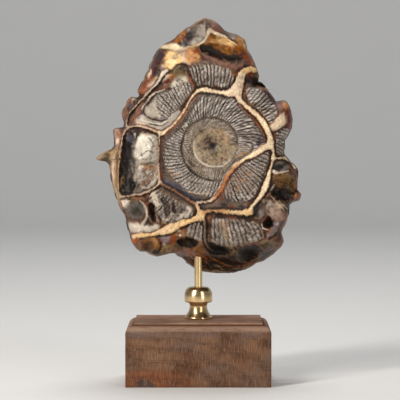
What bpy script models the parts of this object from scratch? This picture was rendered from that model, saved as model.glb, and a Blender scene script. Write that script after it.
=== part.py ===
# Ammonite fossil with calcite veins, held up by a brass rod on a wooden block.
# The shell faces -Y. Z is up and the origin is at the middle of the block's underside.

import math

import bmesh
import bpy
import numpy as np
from mathutils import Vector
from mathutils.geometry import delaunay_2d_cdt

# Sizes below are in millimetres; the meshes are written in metres.
MM = 0.001
GAP = 0.3

# Wooden block
BLOCK_WIDTH = 114.6
BLOCK_DEPTH = 80.0
BLOCK_HEIGHT = 50.2
TOP_STEP = 2.3
EDGE_RADIUS = 6.4
EDGE_STEPS = 6

# Brass rod and turned collar
ROD_RADIUS = 6.35 / 2
ROD_IN_BLOCK = 18.0
ROD_TOP = 128.0
ROUND_STEPS = 32
COLLAR_HEIGHT = 25.3
COLLAR_FOOT = 11.3
COLLAR_FOOT_EDGE = 1.5
COLLAR_WAIST = 7.0
COLLAR_WAIST_HEIGHT = 10.3
COLLAR_NECK = 7.8
COLLAR_NECK_HEIGHT = 12.3
KNOB_RADIUS = 11.2
KNOB_BOTTOM = 13.1
KNOB_STRAIGHT = 4.6
KNOB_TOP_RADIUS = 6.5
KNOB_LIP = 1.0
FLARE_CURVE = 1.3
CURVE_STEPS = 5

# The stone: u runs to the right and v up from the middle of the shell's coil.
COIL_X = 11.3
COIL_Z = 189.3
FRONT_CROWN = 25.0
BACK_CROWN = 27.0
EDGE_ROUNDING = 22.0

# Broken edge of the stone, clockwise from the top, as (u, v)
OUTLINE = [
    (-7, 102.5), (-3, 101.5), (3.5, 98.5), (9.5, 92), (14, 90), (19, 89), (25.5, 84.5),
    (28, 76.5), (33, 68), (36.5, 59.5), (38, 55), (37.5, 51.5), (35.5, 49.5), (43, 46.5),
    (46, 43), (50.5, 35.5), (53.5, 35.5), (56.5, 36.5), (59.5, 35.5), (62, 32.5),
    (63.5, 28.5), (64.5, 23.5), (64.5, 17), (63, 11.5), (58.5, 3.5), (57.5, -5),
    (58.5, -8), (62.5, -13), (68.5, -18.5), (68, -28), (68, -36), (71.5, -38.5),
    (71.5, -41), (70, -44.5), (65, -46.5), (62.5, -48.5), (61, -59), (56.5, -67.5),
    (55.5, -70.5), (58, -77.5), (56.5, -81.5), (53.5, -84.5), (46, -91), (35.5, -96),
    (31, -99), (22, -103), (17, -104), (9, -104), (-2, -103.5), (-7, -103), (-15, -100),
    (-21, -96), (-24.5, -92), (-28.5, -90.5), (-31, -88), (-37.5, -88.5), (-41, -89.5),
    (-45, -89.5), (-50, -88), (-53.5, -85.5), (-58, -85.5), (-61.5, -83), (-65, -78.5),
    (-67.5, -70.5), (-69.5, -59.5), (-71, -55.5), (-74, -51.5), (-76.5, -46),
    (-79.5, -36.5), (-81, -31), (-82.5, -20.5), (-84, -16), (-86, -13), (-90.5, -13),
    (-94, -11), (-85.5, -4.5), (-81.5, -3.5), (-79.5, -0.5), (-79, 4), (-79.5, 12.5),
    (-77, 14.5), (-73, 13.5), (-71.5, 15), (-71.5, 19), (-73.5, 25.5), (-70.5, 32),
    (-66, 39.5), (-63, 39), (-61, 38.5), (-59, 40), (-61, 43.5), (-55.5, 52.5),
    (-51.5, 60.5), (-48.5, 68), (-43.5, 77), (-41.5, 79), (-34, 83.5), (-30.5, 86),
    (-24.5, 92), (-21.5, 94.5), (-18, 95.5), (-10, 101),
]

# Calcite veins on the front: width, then the points that each runs through
FRONT_VEINS = [
    (3.0, [(-39.5, 9), (-34, 16), (-26, 25.5), (-22, 30.5), (-18, 37.5), (-11.5, 44)]),
    (4.6, [(-11.5, 44), (-6, 45), (2, 43.5), (9, 41.5), (20.5, 37.5)]),
    (8.0, [(20.5, 37.5), (20, 48), (21.5, 54), (25, 59), (36, 60.5)]),
    (5.6, [(20.5, 37.5), (26, 33), (34, 25), (39.5, 17), (43.5, 9.5), (44.5, 1.5)]),
    (4.0, [(44.5, 1.5), (32.5, -6.5), (22, -13), (10, -25), (3, -37.5), (-2, -43),
           (-11.5, -45.5)]),
    (4.2, [(44.5, 1.5), (47.5, -9.5), (45, -22.5), (43, -29.5), (38, -41.5), (30, -50)]),
    (5.6, [(30, -50), (24, -53), (10, -52), (2, -51), (-12.5, -54.5)]),
    (2.6, [(-39.5, 9), (-40.5, 0), (-41, -16), (-41, -30.5)]),
    (2.4, [(-41, -30.5), (-34, -34.5), (-26, -39), (-18, -44), (-11.5, -45.5)]),
    (3.2, [(-39.5, 9), (-52.5, 13.5), (-60, 15), (-68.5, 13.5)]),
    (2.4, [(-68.5, 13.5), (-67.5, 23), (-63.5, 29.5), (-52.5, 40), (-40.5, 50.5)]),
    (2.6, [(-68.5, 13.5), (-73, 4), (-74, -12), (-75.5, -28), (-72.5, -40)]),
    (2.8, [(-41, -30.5), (-46, -33.5), (-55.5, -37), (-72.5, -40)]),
    (6.0, [(-12.5, -54.5), (-26, -61.5), (-42, -67), (-50, -70.5), (-65, -70.5)]),
    (6.0, [(-11.5, -45.5), (-12.5, -54.5)]),
    (3.2, [(-7, -55), (-6, -64), (-7, -76), (-2, -84)]),
    (3.4, [(47.5, -9.5), (54, -9.5), (59.5, -12), (66, -19)]),
]

# Hollows (negative) and lumps of the front: u, v, half length, half width, turn, height
FRONT_FORMS = [
    (-15.5, 86, 11, 9, 38, -9.0),
    (11, 75, 19, 9.5, -22, -13.0),
    (-33, 67, 8, 7, 40, -3.0),
    (32, 52.5, 5, 4.5, 0, -4.5),
    (53, -15.5, 7, 4.8, 0, -4.5),
    (56, -34.5, 11, 12, 20, -11.0),
    (36, -50, 6, 7.5, 0, -3.5),
    (48, -58, 7, 9, -10, -2.5),
    (44, -61, 3.8, 5, 0, -6.0),
    (-66.5, -14, 5.5, 22, 0, -11.0),
    (-54, -5, 9, 15, 0, 2.5),
    (-63, -52, 9.5, 9.5, 0, -9.0),
    (-47.5, -52, 3.4, 9, -15, -6.5),
    (-18, -77.5, 7.5, 4.6, 0, -8.5),
    (3, -81, 9, 7, 20, -9.0),
    (31, -86, 9.5, 7, 20, -8.5),
    (-51, -79, 7.5, 5, 10, -3.0),
    (-49, 27, 13, 9, 35, 1.5),
    (-64, 31, 3.5, 8, -35, -3.0),
    (60, 22, 3, 8, 0, 2.0),
]

# Fields of ribs on the front: inner and outer radius, from and to degree, ribs in a
# full turn, height
FRONT_RIBS = [
    (25.5, 42, 0, 360, 78, 1.7),
    (38, 56, -80, -6, 84, 1.8),
    (46, 63, 68, 112, 126, 2.0),
    (46, 62, 114, 150, 108, 1.5),
    (43, 61, 22, 60, 108, 1.7),
    (48, 60, -9, 16, 114, 2.0),
    (55, 82, -90, -53, 126, 2.0),
    (58, 78, -111, -98, 126, 2.0),
    (48, 72, -141, -107, 96, 1.7),
]

# The hidden back has the same coil, a ring of veins and spokes of vein to the edge.
BACK_RING_RADIUS = 50.0
BACK_CORNER_ANGLES = [8, 62, 108, 158, 214, 262, 318]
BACK_CORNER_REACH = [1.0, 0.92, 1.08, 0.95, 1.04, 1.14, 0.94]
BACK_RING_BOW = [5, 3, -3, 6, 4, -4, 5]
BACK_SPOKE_BOW = [4, -5, 6, -4, 5, 3, -6]
BACK_VEIN_WIDTH = 4.4
BACK_FORMS = [
    (-30, 72, 11, 9, 40, -7.0),
    (12, 74, 13, 9, -20, -9.0),
    (-60, -14, 8, 14, 0, -8.0),
    (50, -36, 9, 12, 10, -8.0),
    (-44, -68, 11, 8, 20, -7.0),
    (20, -80, 13, 7, 5, -7.0),
    (48, 20, 6, 9, -20, -5.0),
]
BACK_RIBS = [
    (26, 43, 0, 360, 48, 1.8),
    (56, 68, 112, 154, 72, 1.8),
    (56, 74, 218, 258, 72, 1.8),
    (55, 66, -38, 4, 72, 1.8),
]

# Relief that both faces share
VEIN_PROUD = 1.2
VEIN_TOP_SHARE = 0.45
VEIN_FOOT = 1.3
VEIN_STEP = 4.0
MOAT_DEPTH = 1.6
MOAT_WIDTH = 3.5
RIB_FADE = 1.5
COIL_SWELL = 1.5
COIL_SWELL_RADIUS = 33.0
COIL_SWELL_WIDTH = 8.0
PIT_DEPTH = 2.6
PIT_RADIUS = 5.0
SEAM_DEPTH = 1.0
SEAM_RADIUS = 23.4
SEAM_DRIFT = 1.2
SEAM_WIDTH = 1.5

# The underside falls back behind the rod, from HEEL_TOP down to HEEL_BOTTOM.
HEEL_TOP = -76.0
HEEL_BOTTOM = -96.0
HEEL_SHIFT = 14.0
HEEL_THINNING = 0.45
HEEL_MIDDLE = 5.0
HEEL_HALF_WIDTH = 38.0
HEEL_FADE = 16.0

# The thorn at the left edge is slim: its place, reach and share of the full thickness
THORN = (-92, -10)
THORN_REACH = 14.0
THORN_THICKNESS = 0.3
THINNEST_SHARE = 0.35

# Least distances between the points that the faces are drawn through
EDGE_GAP = 0.7
LINE_GAP = 1.2
RIB_GAP = 1.15
RING_GAP = 1.6
FILL_GAP = 0.72
FILL_FROM_EDGE = 3.0
LARGEST_RADIUS = 120.0
ON_EDGE = 0.001


def smooth_step(low, high, value):
    share = np.clip((value - low) / (high - low), 0.0, 1.0)
    return share * share * (3.0 - 2.0 * share)


# Places that follow a smooth curve through the given points, one every few millimetres
def smooth_path(points, spacing):
    points = np.array(points, dtype=float)
    ends = np.vstack([2 * points[0] - points[1], points, 2 * points[-1] - points[-2]])
    path = []
    for before, start, end, after in zip(ends, ends[1:], ends[2:], ends[3:]):
        steps = max(1, round(float(np.linalg.norm(end - start)) / spacing))
        for step in range(steps):
            t = step / steps
            path.append(0.5 * (2 * start + (end - before) * t
                               + (2 * before - 5 * start + 4 * end - after) * t * t
                               + (3 * start - before - 3 * end + after) * t ** 3))
    path.append(points[-1])
    return np.array(path)


def path_distance(places, path, closed=False):
    starts = path if closed else path[:-1]
    ends = np.roll(path, -1, axis=0) if closed else path[1:]
    nearest = np.full(len(places), np.inf)
    for start, end in zip(starts, ends):
        along = end - start
        share = np.clip((places - start) @ along / (along @ along), 0.0, 1.0)
        away = np.linalg.norm(places - start - share[:, None] * along, axis=1)
        nearest = np.minimum(nearest, away)
    return nearest


# Closed ring of veins round the coil, and a vein from each corner to the edge
def back_veins():
    corners = []
    for angle, reach in zip(BACK_CORNER_ANGLES, BACK_CORNER_REACH):
        turn = math.radians(angle)
        radius = BACK_RING_RADIUS * reach
        corners.append((radius * math.cos(turn), radius * math.sin(turn)))
    veins = []
    for corner, following, bow in zip(corners, corners[1:] + corners[:1], BACK_RING_BOW):
        veins.append((BACK_VEIN_WIDTH, bowed(corner, following, bow)))
    for corner, angle, bow in zip(corners, BACK_CORNER_ANGLES, BACK_SPOKE_BOW):
        stretch = (edge_radius(math.radians(angle)) - 2.0) / math.hypot(*corner)
        veins.append((BACK_VEIN_WIDTH, bowed(corner, (corner[0] * stretch, corner[1] * stretch), bow)))
    return veins


# Two ends and a middle point that is set to the right of the straight line between them
def bowed(start, end, bow):
    along = (end[0] - start[0], end[1] - start[1])
    size = math.hypot(*along)
    middle = ((start[0] + end[0]) / 2 + bow * along[1] / size,
              (start[1] + end[1]) / 2 - bow * along[0] / size)
    return [start, middle, end]


# Distance from the coil's middle to the edge in one direction
def edge_radius(turn):
    outline = sorted((math.atan2(v, u), math.hypot(u, v)) for u, v in OUTLINE)
    angles = [angle for angle, radius in outline]
    radii = [radius for angle, radius in outline]
    return float(np.interp((turn + math.pi) % (2 * math.pi) - math.pi, angles, radii,
                           period=2 * math.pi))


# How fully a place lies in a field of ribs, and the rib's rise there, from -0.5 to 0.5
def rib_rise(places, field):
    inner, outer, start, end, count, height = field
    radius = np.hypot(places[:, 0], places[:, 1])
    turn = np.degrees(np.arctan2(places[:, 1], places[:, 0]))
    span = end - start
    past = (turn - start) % 360
    inside = smooth_step(inner - RIB_FADE, inner + 1, radius)
    inside = inside * smooth_step(-outer - RIB_FADE, 1 - outer, -radius)
    if span < 360:
        inside = inside * (past <= span)
    return height * inside * 0.5 * np.cos(np.radians(past * count))


# Height of one face above the stone's middle sheet
def face_height(places, crown, veins, forms, rib_fields):
    radius = np.hypot(places[:, 0], places[:, 1])
    turn = np.arctan2(places[:, 1], places[:, 0])
    edge = path_distance(places, np.array(OUTLINE, dtype=float), closed=True)
    inset = 1.0 - np.minimum(edge / EDGE_ROUNDING, 1.0)
    pillow = crown * np.sqrt(np.maximum(0.0, 1.0 - inset * inset))
    thorn = np.hypot(places[:, 0] - THORN[0], places[:, 1] - THORN[1])
    near_thorn = 1.0 - smooth_step(THORN_REACH / 2, THORN_REACH, thorn)
    pillow *= 1.0 - (1.0 - THORN_THICKNESS) * near_thorn
    pillow *= 1.0 - HEEL_THINNING * heel(places)

    proud = np.zeros(len(places))
    moat = np.zeros(len(places))
    for width, points in veins:
        away = path_distance(places, smooth_path(points, VEIN_STEP))
        outside = away - width / 2
        proud = np.maximum(proud, 1.0 - smooth_step((VEIN_TOP_SHARE - 0.5) * width, VEIN_FOOT, outside))
        moat = np.maximum(moat, np.exp(-(np.maximum(outside, 0.0) / MOAT_WIDTH) ** 2))

    height = pillow - MOAT_DEPTH * moat * (1.0 - proud) + VEIN_PROUD * proud
    height += COIL_SWELL * np.exp(-((radius - COIL_SWELL_RADIUS) / COIL_SWELL_WIDTH) ** 2) * (1.0 - proud)
    height -= PIT_DEPTH * np.exp(-(radius / PIT_RADIUS) ** 2)
    seam = SEAM_RADIUS + SEAM_DRIFT * turn / math.pi
    height -= SEAM_DEPTH * np.exp(-((radius - seam) / SEAM_WIDTH) ** 2) * (1.0 - proud)
    for u, v, long_half, wide_half, angle, rise in forms:
        height += rise * form_share(places, u, v, long_half, wide_half, angle)
    clear = (1.0 - moat ** 4) * smooth_step(RIB_FADE, 4 * RIB_FADE, edge)
    for field in rib_fields:
        height += rib_rise(places, field) * clear
    height = np.maximum(height, THINNEST_SHARE * pillow)
    return np.where(edge < ON_EDGE, 0.0, height)


# Bowl-shaped share of a hollow or lump: 1 in its middle and 0 past its rim
def form_share(places, u, v, long_half, wide_half, angle):
    turn = math.radians(angle)
    across = places - np.array([u, v])
    along = across[:, 0] * math.cos(turn) + across[:, 1] * math.sin(turn)
    aside = across[:, 1] * math.cos(turn) - across[:, 0] * math.sin(turn)
    reach = (along / long_half) ** 2 + (aside / wide_half) ** 2
    return np.maximum(0.0, 1.0 - reach) ** 0.8


# Share of the heel's set-back at a place
def heel(places):
    sideways = np.abs(places[:, 0] - HEEL_MIDDLE)
    window = 1.0 - smooth_step(HEEL_HALF_WIDTH, HEEL_HALF_WIDTH + HEEL_FADE, sideways)
    return window * smooth_step(-HEEL_TOP, -HEEL_BOTTOM, -places[:, 1])


# Points of a face, each kept only where no earlier point is too close
class Scatter:
    def __init__(self, outline):
        self.kept = np.array(outline, dtype=float)
        self.edge = self.kept.copy()
        self.lines = []

    # Neighbours in a row of points are joined by an edge where both are kept.
    def add(self, places, spacing, from_edge=0.8, joined=False):
        last_kept = False
        for place in places:
            place = np.asarray(place, dtype=float)
            angle = math.atan2(place[1], place[0])
            inside = math.hypot(*place) <= edge_radius(angle) - from_edge
            if inside and np.min(np.linalg.norm(self.kept - place, axis=1)) >= spacing:
                self.kept = np.vstack([self.kept, place])
                if joined and last_kept:
                    self.lines.append((len(self.kept) - 2, len(self.kept) - 1))
                last_kept = True
            else:
                last_kept = False

    def add_edge_rings(self, insets):
        radii = np.linalg.norm(self.edge, axis=1)
        for inset in insets:
            self.add(self.edge * (1.0 - inset / radii)[:, None], EDGE_GAP, EDGE_GAP / 2)

    def add_veins(self, veins, spacing):
        for width, points in veins:
            path = smooth_path(points, spacing)
            along = np.gradient(path, axis=0)
            along /= np.linalg.norm(along, axis=1)[:, None]
            aside = np.stack([-along[:, 1], along[:, 0]], axis=1)
            for offset in (VEIN_TOP_SHARE * width, 0.5 * width + VEIN_FOOT):
                self.add(path - aside * offset, LINE_GAP, joined=True)
                self.add(path + aside * offset, LINE_GAP, joined=True)

    def add_forms(self, forms):
        for u, v, long_half, wide_half, angle, _ in forms:
            turn = math.radians(angle)
            for reach, count in ((1.02, 14), (0.8, 11), (0.4, 6)):
                ring = []
                for step in range(count):
                    way = 2 * math.pi * step / count
                    along = reach * long_half * math.cos(way)
                    aside = reach * wide_half * math.sin(way)
                    ring.append((u + along * math.cos(turn) - aside * math.sin(turn),
                                 v + along * math.sin(turn) + aside * math.cos(turn)))
                self.add(ring, RING_GAP, joined=True)

    # One row of points on each crest and one in each valley
    def add_ribs(self, fields, rows):
        for inner, outer, start, end, count, _ in fields:
            lines = 2 * round(count * (end - start) / 360)
            for line in range(lines):
                turn = math.radians(start + line * 180 / count)
                row = [(radius * math.cos(turn), radius * math.sin(turn))
                       for radius in np.linspace(inner + 1, outer - 1, rows)]
                self.add(row, RIB_GAP, joined=True)

    def add_rings(self, radii, spacing):
        for radius in radii:
            count = max(6, round(2 * math.pi * radius / spacing))
            turns = [2 * math.pi * step / count for step in range(count)]
            self.add([(radius * math.cos(turn), radius * math.sin(turn)) for turn in turns], RING_GAP)

    # Plain points between the features, as the corners of even triangles
    def fill(self, spacing):
        reach = int(LARGEST_RADIUS / spacing)
        for row in range(-reach, reach + 1):
            shift = 0.5 * (row % 2)
            self.add([((column + shift) * spacing, row * spacing * math.sqrt(0.75))
                      for column in range(-reach, reach + 1)], FILL_GAP * spacing, FILL_FROM_EDGE)

    def triangles(self):
        corners = len(self.edge)
        loop = [(step, (step + 1) % corners) for step in range(corners)]
        places = [Vector(place) for place in self.kept]
        verts, _, faces, origins, _, _ = delaunay_2d_cdt(places, loop + self.lines, [], 1, 1e-5)
        on_edge = [min((index for index in source if index < corners), default=None)
                   for source in origins]
        return np.array([tuple(vert) for vert in verts]), faces, on_edge


def front_scatter():
    scatter = Scatter(OUTLINE)
    scatter.add_edge_rings((1.0, 4.0, 9.0))
    scatter.add_veins(FRONT_VEINS, 3.8)
    scatter.add_forms(FRONT_FORMS)
    scatter.add([(0, 0)], 1.0)
    scatter.add_rings((3.0, 8.0, 15.0, 20.5, 23.4), 5.0)
    scatter.add_ribs(FRONT_RIBS, 3)
    scatter.fill(7.5)
    return scatter


def back_scatter():
    scatter = Scatter(OUTLINE)
    scatter.add_edge_rings((1.0, 4.5, 11.0))
    scatter.add_veins(back_veins(), 9.0)
    scatter.add_forms(BACK_FORMS)
    scatter.add([(0, 0)], 1.0)
    scatter.add_rings((4.0, 12.0, 20.0, 23.4), 6.5)
    scatter.add_ribs(BACK_RIBS, 2)
    scatter.fill(11.0)
    return scatter


def link_object(name, mesh_data, material):
    item = bpy.data.objects.new(name, mesh_data)
    bpy.context.scene.collection.objects.link(item)
    if material is not None:
        mesh_data.materials.append(material)
    return item


def mesh_from_bmesh(name, shape):
    bmesh.ops.recalc_face_normals(shape, faces=shape.faces)
    mesh_data = bpy.data.meshes.new(name)
    shape.to_mesh(mesh_data)
    shape.free()
    return mesh_data


def make_material(name, colour, roughness, metallic):
    material = bpy.data.materials.new(name)
    material.use_nodes = True
    shader = material.node_tree.nodes["Principled BSDF"]
    shader.inputs["Base Color"].default_value = (*colour, 1.0)
    shader.inputs["Roughness"].default_value = roughness
    shader.inputs["Metallic"].default_value = metallic
    material.diffuse_color = (*colour, 1.0)
    return material


# Upright cylinder between two heights, round the stand's axis
def make_cylinder(name, radius, bottom, top, material):
    shape = bmesh.new()
    bmesh.ops.create_cone(shape, cap_ends=True, segments=ROUND_STEPS, radius1=radius * MM,
                          radius2=radius * MM, depth=(top - bottom) * MM)
    item = link_object(name, mesh_from_bmesh(name, shape), material)
    item.location.z = (top + bottom) / 2 * MM
    return item


# Cylinder that drills a hole round the stand's axis and isn't part of the object
def drill(target, name, radius, bottom, top):
    cutter = make_cylinder(name, radius, bottom, top, None)
    cutter.hide_render = True
    cutter.display_type = 'WIRE'
    cut = target.modifiers.new("Hole", 'BOOLEAN')
    cut.operation = 'DIFFERENCE'
    cut.solver = 'EXACT'
    cut.object = cutter


def make_fossil(material):
    shape = bmesh.new()
    rim = {}
    faces_of = ((front_scatter(), FRONT_CROWN, FRONT_VEINS, FRONT_FORMS, FRONT_RIBS, -1),
                (back_scatter(), BACK_CROWN, back_veins(), BACK_FORMS, BACK_RIBS, 1))
    for scatter, crown, veins, forms, rib_fields, side in faces_of:
        places, triangles, on_edge = scatter.triangles()
        depth = HEEL_SHIFT * heel(places)
        depth += side * face_height(places, crown, veins, forms, rib_fields)
        corners = []
        for (u, v), y, edge_index in zip(places, depth, on_edge):
            corner = rim.get(edge_index)
            if corner is None:
                corner = shape.verts.new(((COIL_X + u) * MM, y * MM, (COIL_Z + v) * MM))
            if edge_index is not None:
                rim[edge_index] = corner
            corners.append(corner)
        for triangle in triangles:
            shape.faces.new([corners[index] for index in triangle])
    item = link_object("fossil", mesh_from_bmesh("fossil", shape), material)
    drill(item, "fossil_hole", ROD_RADIUS + GAP, BLOCK_HEIGHT + COLLAR_HEIGHT, ROD_TOP + GAP)
    return item


# Half section of the collar from its foot up, as (radius, height above the block)
def collar_profile():
    section = [(COLLAR_FOOT, 0.0), (COLLAR_FOOT, COLLAR_FOOT_EDGE)]
    flare = COLLAR_WAIST_HEIGHT - COLLAR_FOOT_EDGE
    for step in range(1, CURVE_STEPS + 1):
        turn = math.radians(90 * step / CURVE_STEPS)
        spread = (COLLAR_FOOT - COLLAR_WAIST) * (1 - math.sin(turn)) ** FLARE_CURVE
        section.append((COLLAR_WAIST + spread, COLLAR_FOOT_EDGE + flare * step / CURVE_STEPS))
    section += [(COLLAR_NECK, COLLAR_NECK_HEIGHT), (KNOB_RADIUS - KNOB_LIP, KNOB_BOTTOM),
                (KNOB_RADIUS, KNOB_BOTTOM + KNOB_LIP)]
    shoulder = KNOB_BOTTOM + KNOB_STRAIGHT
    for step in range(CURVE_STEPS + 1):
        turn = math.radians(90 * step / CURVE_STEPS)
        section.append((KNOB_TOP_RADIUS + (KNOB_RADIUS - KNOB_TOP_RADIUS) * math.cos(turn),
                        shoulder + (COLLAR_HEIGHT - shoulder) * math.sin(turn)))
    return section


def make_collar(material):
    section = collar_profile()
    bore = ROD_RADIUS + GAP
    section = [(bore, 0.0)] + section + [(bore, COLLAR_HEIGHT)]
    shape = bmesh.new()
    verts = [shape.verts.new((radius * MM, 0, height * MM)) for radius, height in section]
    edges = [shape.edges.new(pair) for pair in zip(verts, verts[1:] + verts[:1])]
    bmesh.ops.spin(shape, geom=verts + edges, cent=(0, 0, 0), axis=(0, 0, 1),
                   angle=2 * math.pi, steps=ROUND_STEPS, use_merge=True)
    bmesh.ops.remove_doubles(shape, verts=shape.verts, dist=0.00001)
    item = link_object("collar", mesh_from_bmesh("collar", shape), material)
    item.location.z = (BLOCK_HEIGHT + GAP) * MM
    item.data.shade_smooth()
    item.data.set_sharp_from_angle(angle=math.radians(35))
    return item


def make_rod(material):
    rod = make_cylinder("rod", ROD_RADIUS, BLOCK_HEIGHT - ROD_IN_BLOCK + GAP, ROD_TOP, material)
    rod.data.shade_smooth()
    rod.data.set_sharp_from_angle(angle=math.radians(35))
    return rod


# Four-cornered rings stacked up the block, each drawn in from the sides by an inset
def make_base(material):
    step_bottom = BLOCK_HEIGHT - TOP_STEP
    side_top = step_bottom - EDGE_RADIUS
    rings = [(0.0, 0.0)]
    for step in range(EDGE_STEPS + 1):
        turn = math.radians(90 * step / EDGE_STEPS)
        rings.append((EDGE_RADIUS * (1 - math.cos(turn)), side_top + EDGE_RADIUS * math.sin(turn)))
    rings.append((EDGE_RADIUS, BLOCK_HEIGHT))
    shape = bmesh.new()
    loops = []
    for inset, height in rings:
        half_width = BLOCK_WIDTH / 2 - inset
        half_depth = BLOCK_DEPTH / 2 - inset
        corners = ((-half_width, -half_depth), (half_width, -half_depth),
                   (half_width, half_depth), (-half_width, half_depth))
        loops.append([shape.verts.new((x * MM, y * MM, height * MM)) for x, y in corners])
    shape.faces.new(loops[0])
    shape.faces.new(loops[-1])
    for lower, upper in zip(loops, loops[1:]):
        for step in range(4):
            after = (step + 1) % 4
            shape.faces.new((lower[step], lower[after], upper[after], upper[step]))
    item = link_object("base", mesh_from_bmesh("base", shape), material)
    drill(item, "base_hole", ROD_RADIUS + GAP, BLOCK_HEIGHT - ROD_IN_BLOCK, BLOCK_HEIGHT + 10)
    return item


def main():
    for item in list(bpy.data.objects):
        bpy.data.objects.remove(item, do_unlink=True)
    stone = make_material("veined stone", (0.22, 0.17, 0.12), 0.6, 0.0)
    brass = make_material("satin brass", (0.72, 0.53, 0.25), 0.3, 1.0)
    wood = make_material("weathered wood", (0.11, 0.075, 0.05), 0.85, 0.0)
    make_fossil(stone)
    make_rod(brass)
    make_collar(brass)
    make_base(wood)


main()
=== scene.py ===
import math

import bpy
import numpy as np
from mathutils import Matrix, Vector


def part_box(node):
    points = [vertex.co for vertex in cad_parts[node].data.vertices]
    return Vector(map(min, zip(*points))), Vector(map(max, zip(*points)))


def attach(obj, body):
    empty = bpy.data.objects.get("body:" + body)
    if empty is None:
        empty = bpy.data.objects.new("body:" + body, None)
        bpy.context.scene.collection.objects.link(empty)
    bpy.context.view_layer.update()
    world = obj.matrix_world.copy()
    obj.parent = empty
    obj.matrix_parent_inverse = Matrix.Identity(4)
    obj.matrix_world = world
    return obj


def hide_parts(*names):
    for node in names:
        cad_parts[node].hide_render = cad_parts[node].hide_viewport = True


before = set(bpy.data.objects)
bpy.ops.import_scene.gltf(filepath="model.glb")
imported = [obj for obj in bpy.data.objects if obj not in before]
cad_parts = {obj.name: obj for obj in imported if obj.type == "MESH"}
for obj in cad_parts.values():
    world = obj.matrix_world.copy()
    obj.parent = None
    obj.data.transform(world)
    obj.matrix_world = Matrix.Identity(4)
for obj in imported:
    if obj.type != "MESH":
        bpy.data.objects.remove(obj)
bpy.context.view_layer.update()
mm = 0.001               # shapes below are worked out in millimetres and written in metres


# Colours as they look on a screen, from 0 to 255
palette = {
    "cream": (252, 228, 190), "honey": (240, 198, 136), "ochre": (158, 104, 46), "amber": (196, 112, 44),
    "orange": (180, 108, 58), "caramel": (176, 124, 74), "rust": (126, 66, 34), "umber": (46, 25, 15),
    # The near-black (12, 9, 8) is painted into deep hollows and holes: painted shade over their own dark
    # colour
    "hollowShade": (12, 9, 8), "charcoal": (42, 36, 36), "oxblood": (84, 26, 14), "roseBrown": (118, 84, 70),
    "rosewood": (130, 78, 58), "plum": (66, 42, 48), "mauve": (116, 82, 76), "lilac": (122, 110, 116),
    "hazel": (112, 76, 44), "tan": (132, 100, 66), "sand": (180, 146, 106), "peach": (206, 152, 104),
    "bone": (168, 142, 112), "chalk": (210, 198, 184), "ivory": (230, 222, 208), "ivoryGrey": (192, 182, 166),
    "blush": (228, 204, 176), "shellPink": (204, 178, 156), "dustyPink": (158, 132, 120),
    "ash": (112, 105, 98), "pearl": (168, 160, 150), "slate": (50, 45, 46), "slateBlue": (70, 70, 84),
    "ink": (34, 30, 44), "taupe": (98, 84, 74), "olive": (110, 102, 76), "moss": (92, 88, 48),
    "oliveGrey": (96, 92, 78), "ribGrey": (124, 116, 110), "ribLight": (216, 208, 202),
    "groove": (26, 19, 15), "rind": (60, 37, 24), "seal": (58, 50, 45), "coilGrey": (92, 80, 70),
    "whorlBrown": (122, 108, 90), "discTan": (156, 140, 118),
}
glossOf = {                     # how far an area or a spot shines, where that isn't the plain gloss
    "hollowShade": 0.3, "charcoal": 0.4, "umber": 0.6, "ochre": 0.9, "honey": 0.95, "cream": 0.5, "ash": 0.95,
    "pearl": 0.8, "caramel": 0.7, "slate": 0.6, "seal": 0.8, "oxblood": 0.9, "rust": 0.7, "taupe": 0.7,
    "ivory": 0.5, "chalk": 0.5, "plum": 0.6,
}


# Screen colour as the linear colour that shaders read
def colour(name):
    return tuple(((part / 255 + 0.055) / 1.055) ** 2.4 if part > 10 else part / 3295
                 for part in palette[name])


def solid(name):
    return (*colour(name), 1.0)


# A value in a node tree, so that shader maths can be written as it is read
class Wire:
    def __init__(self, web, socket):
        self.web = web
        self.socket = socket

    def maths(self, operation, first, second):
        return self.web.node("ShaderNodeMath", {"operation": operation}, {0: first, 1: second})

    def __add__(self, other):
        return self.maths("ADD", self, other)

    def __radd__(self, other):
        return self.maths("ADD", other, self)

    def __sub__(self, other):
        return self.maths("SUBTRACT", self, other)

    def __rsub__(self, other):
        return self.maths("SUBTRACT", other, self)

    def __mul__(self, other):
        return self.maths("MULTIPLY", self, other)

    def __rmul__(self, other):
        return self.maths("MULTIPLY", other, self)

    def __pow__(self, other):
        return self.maths("POWER", self, other)


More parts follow.
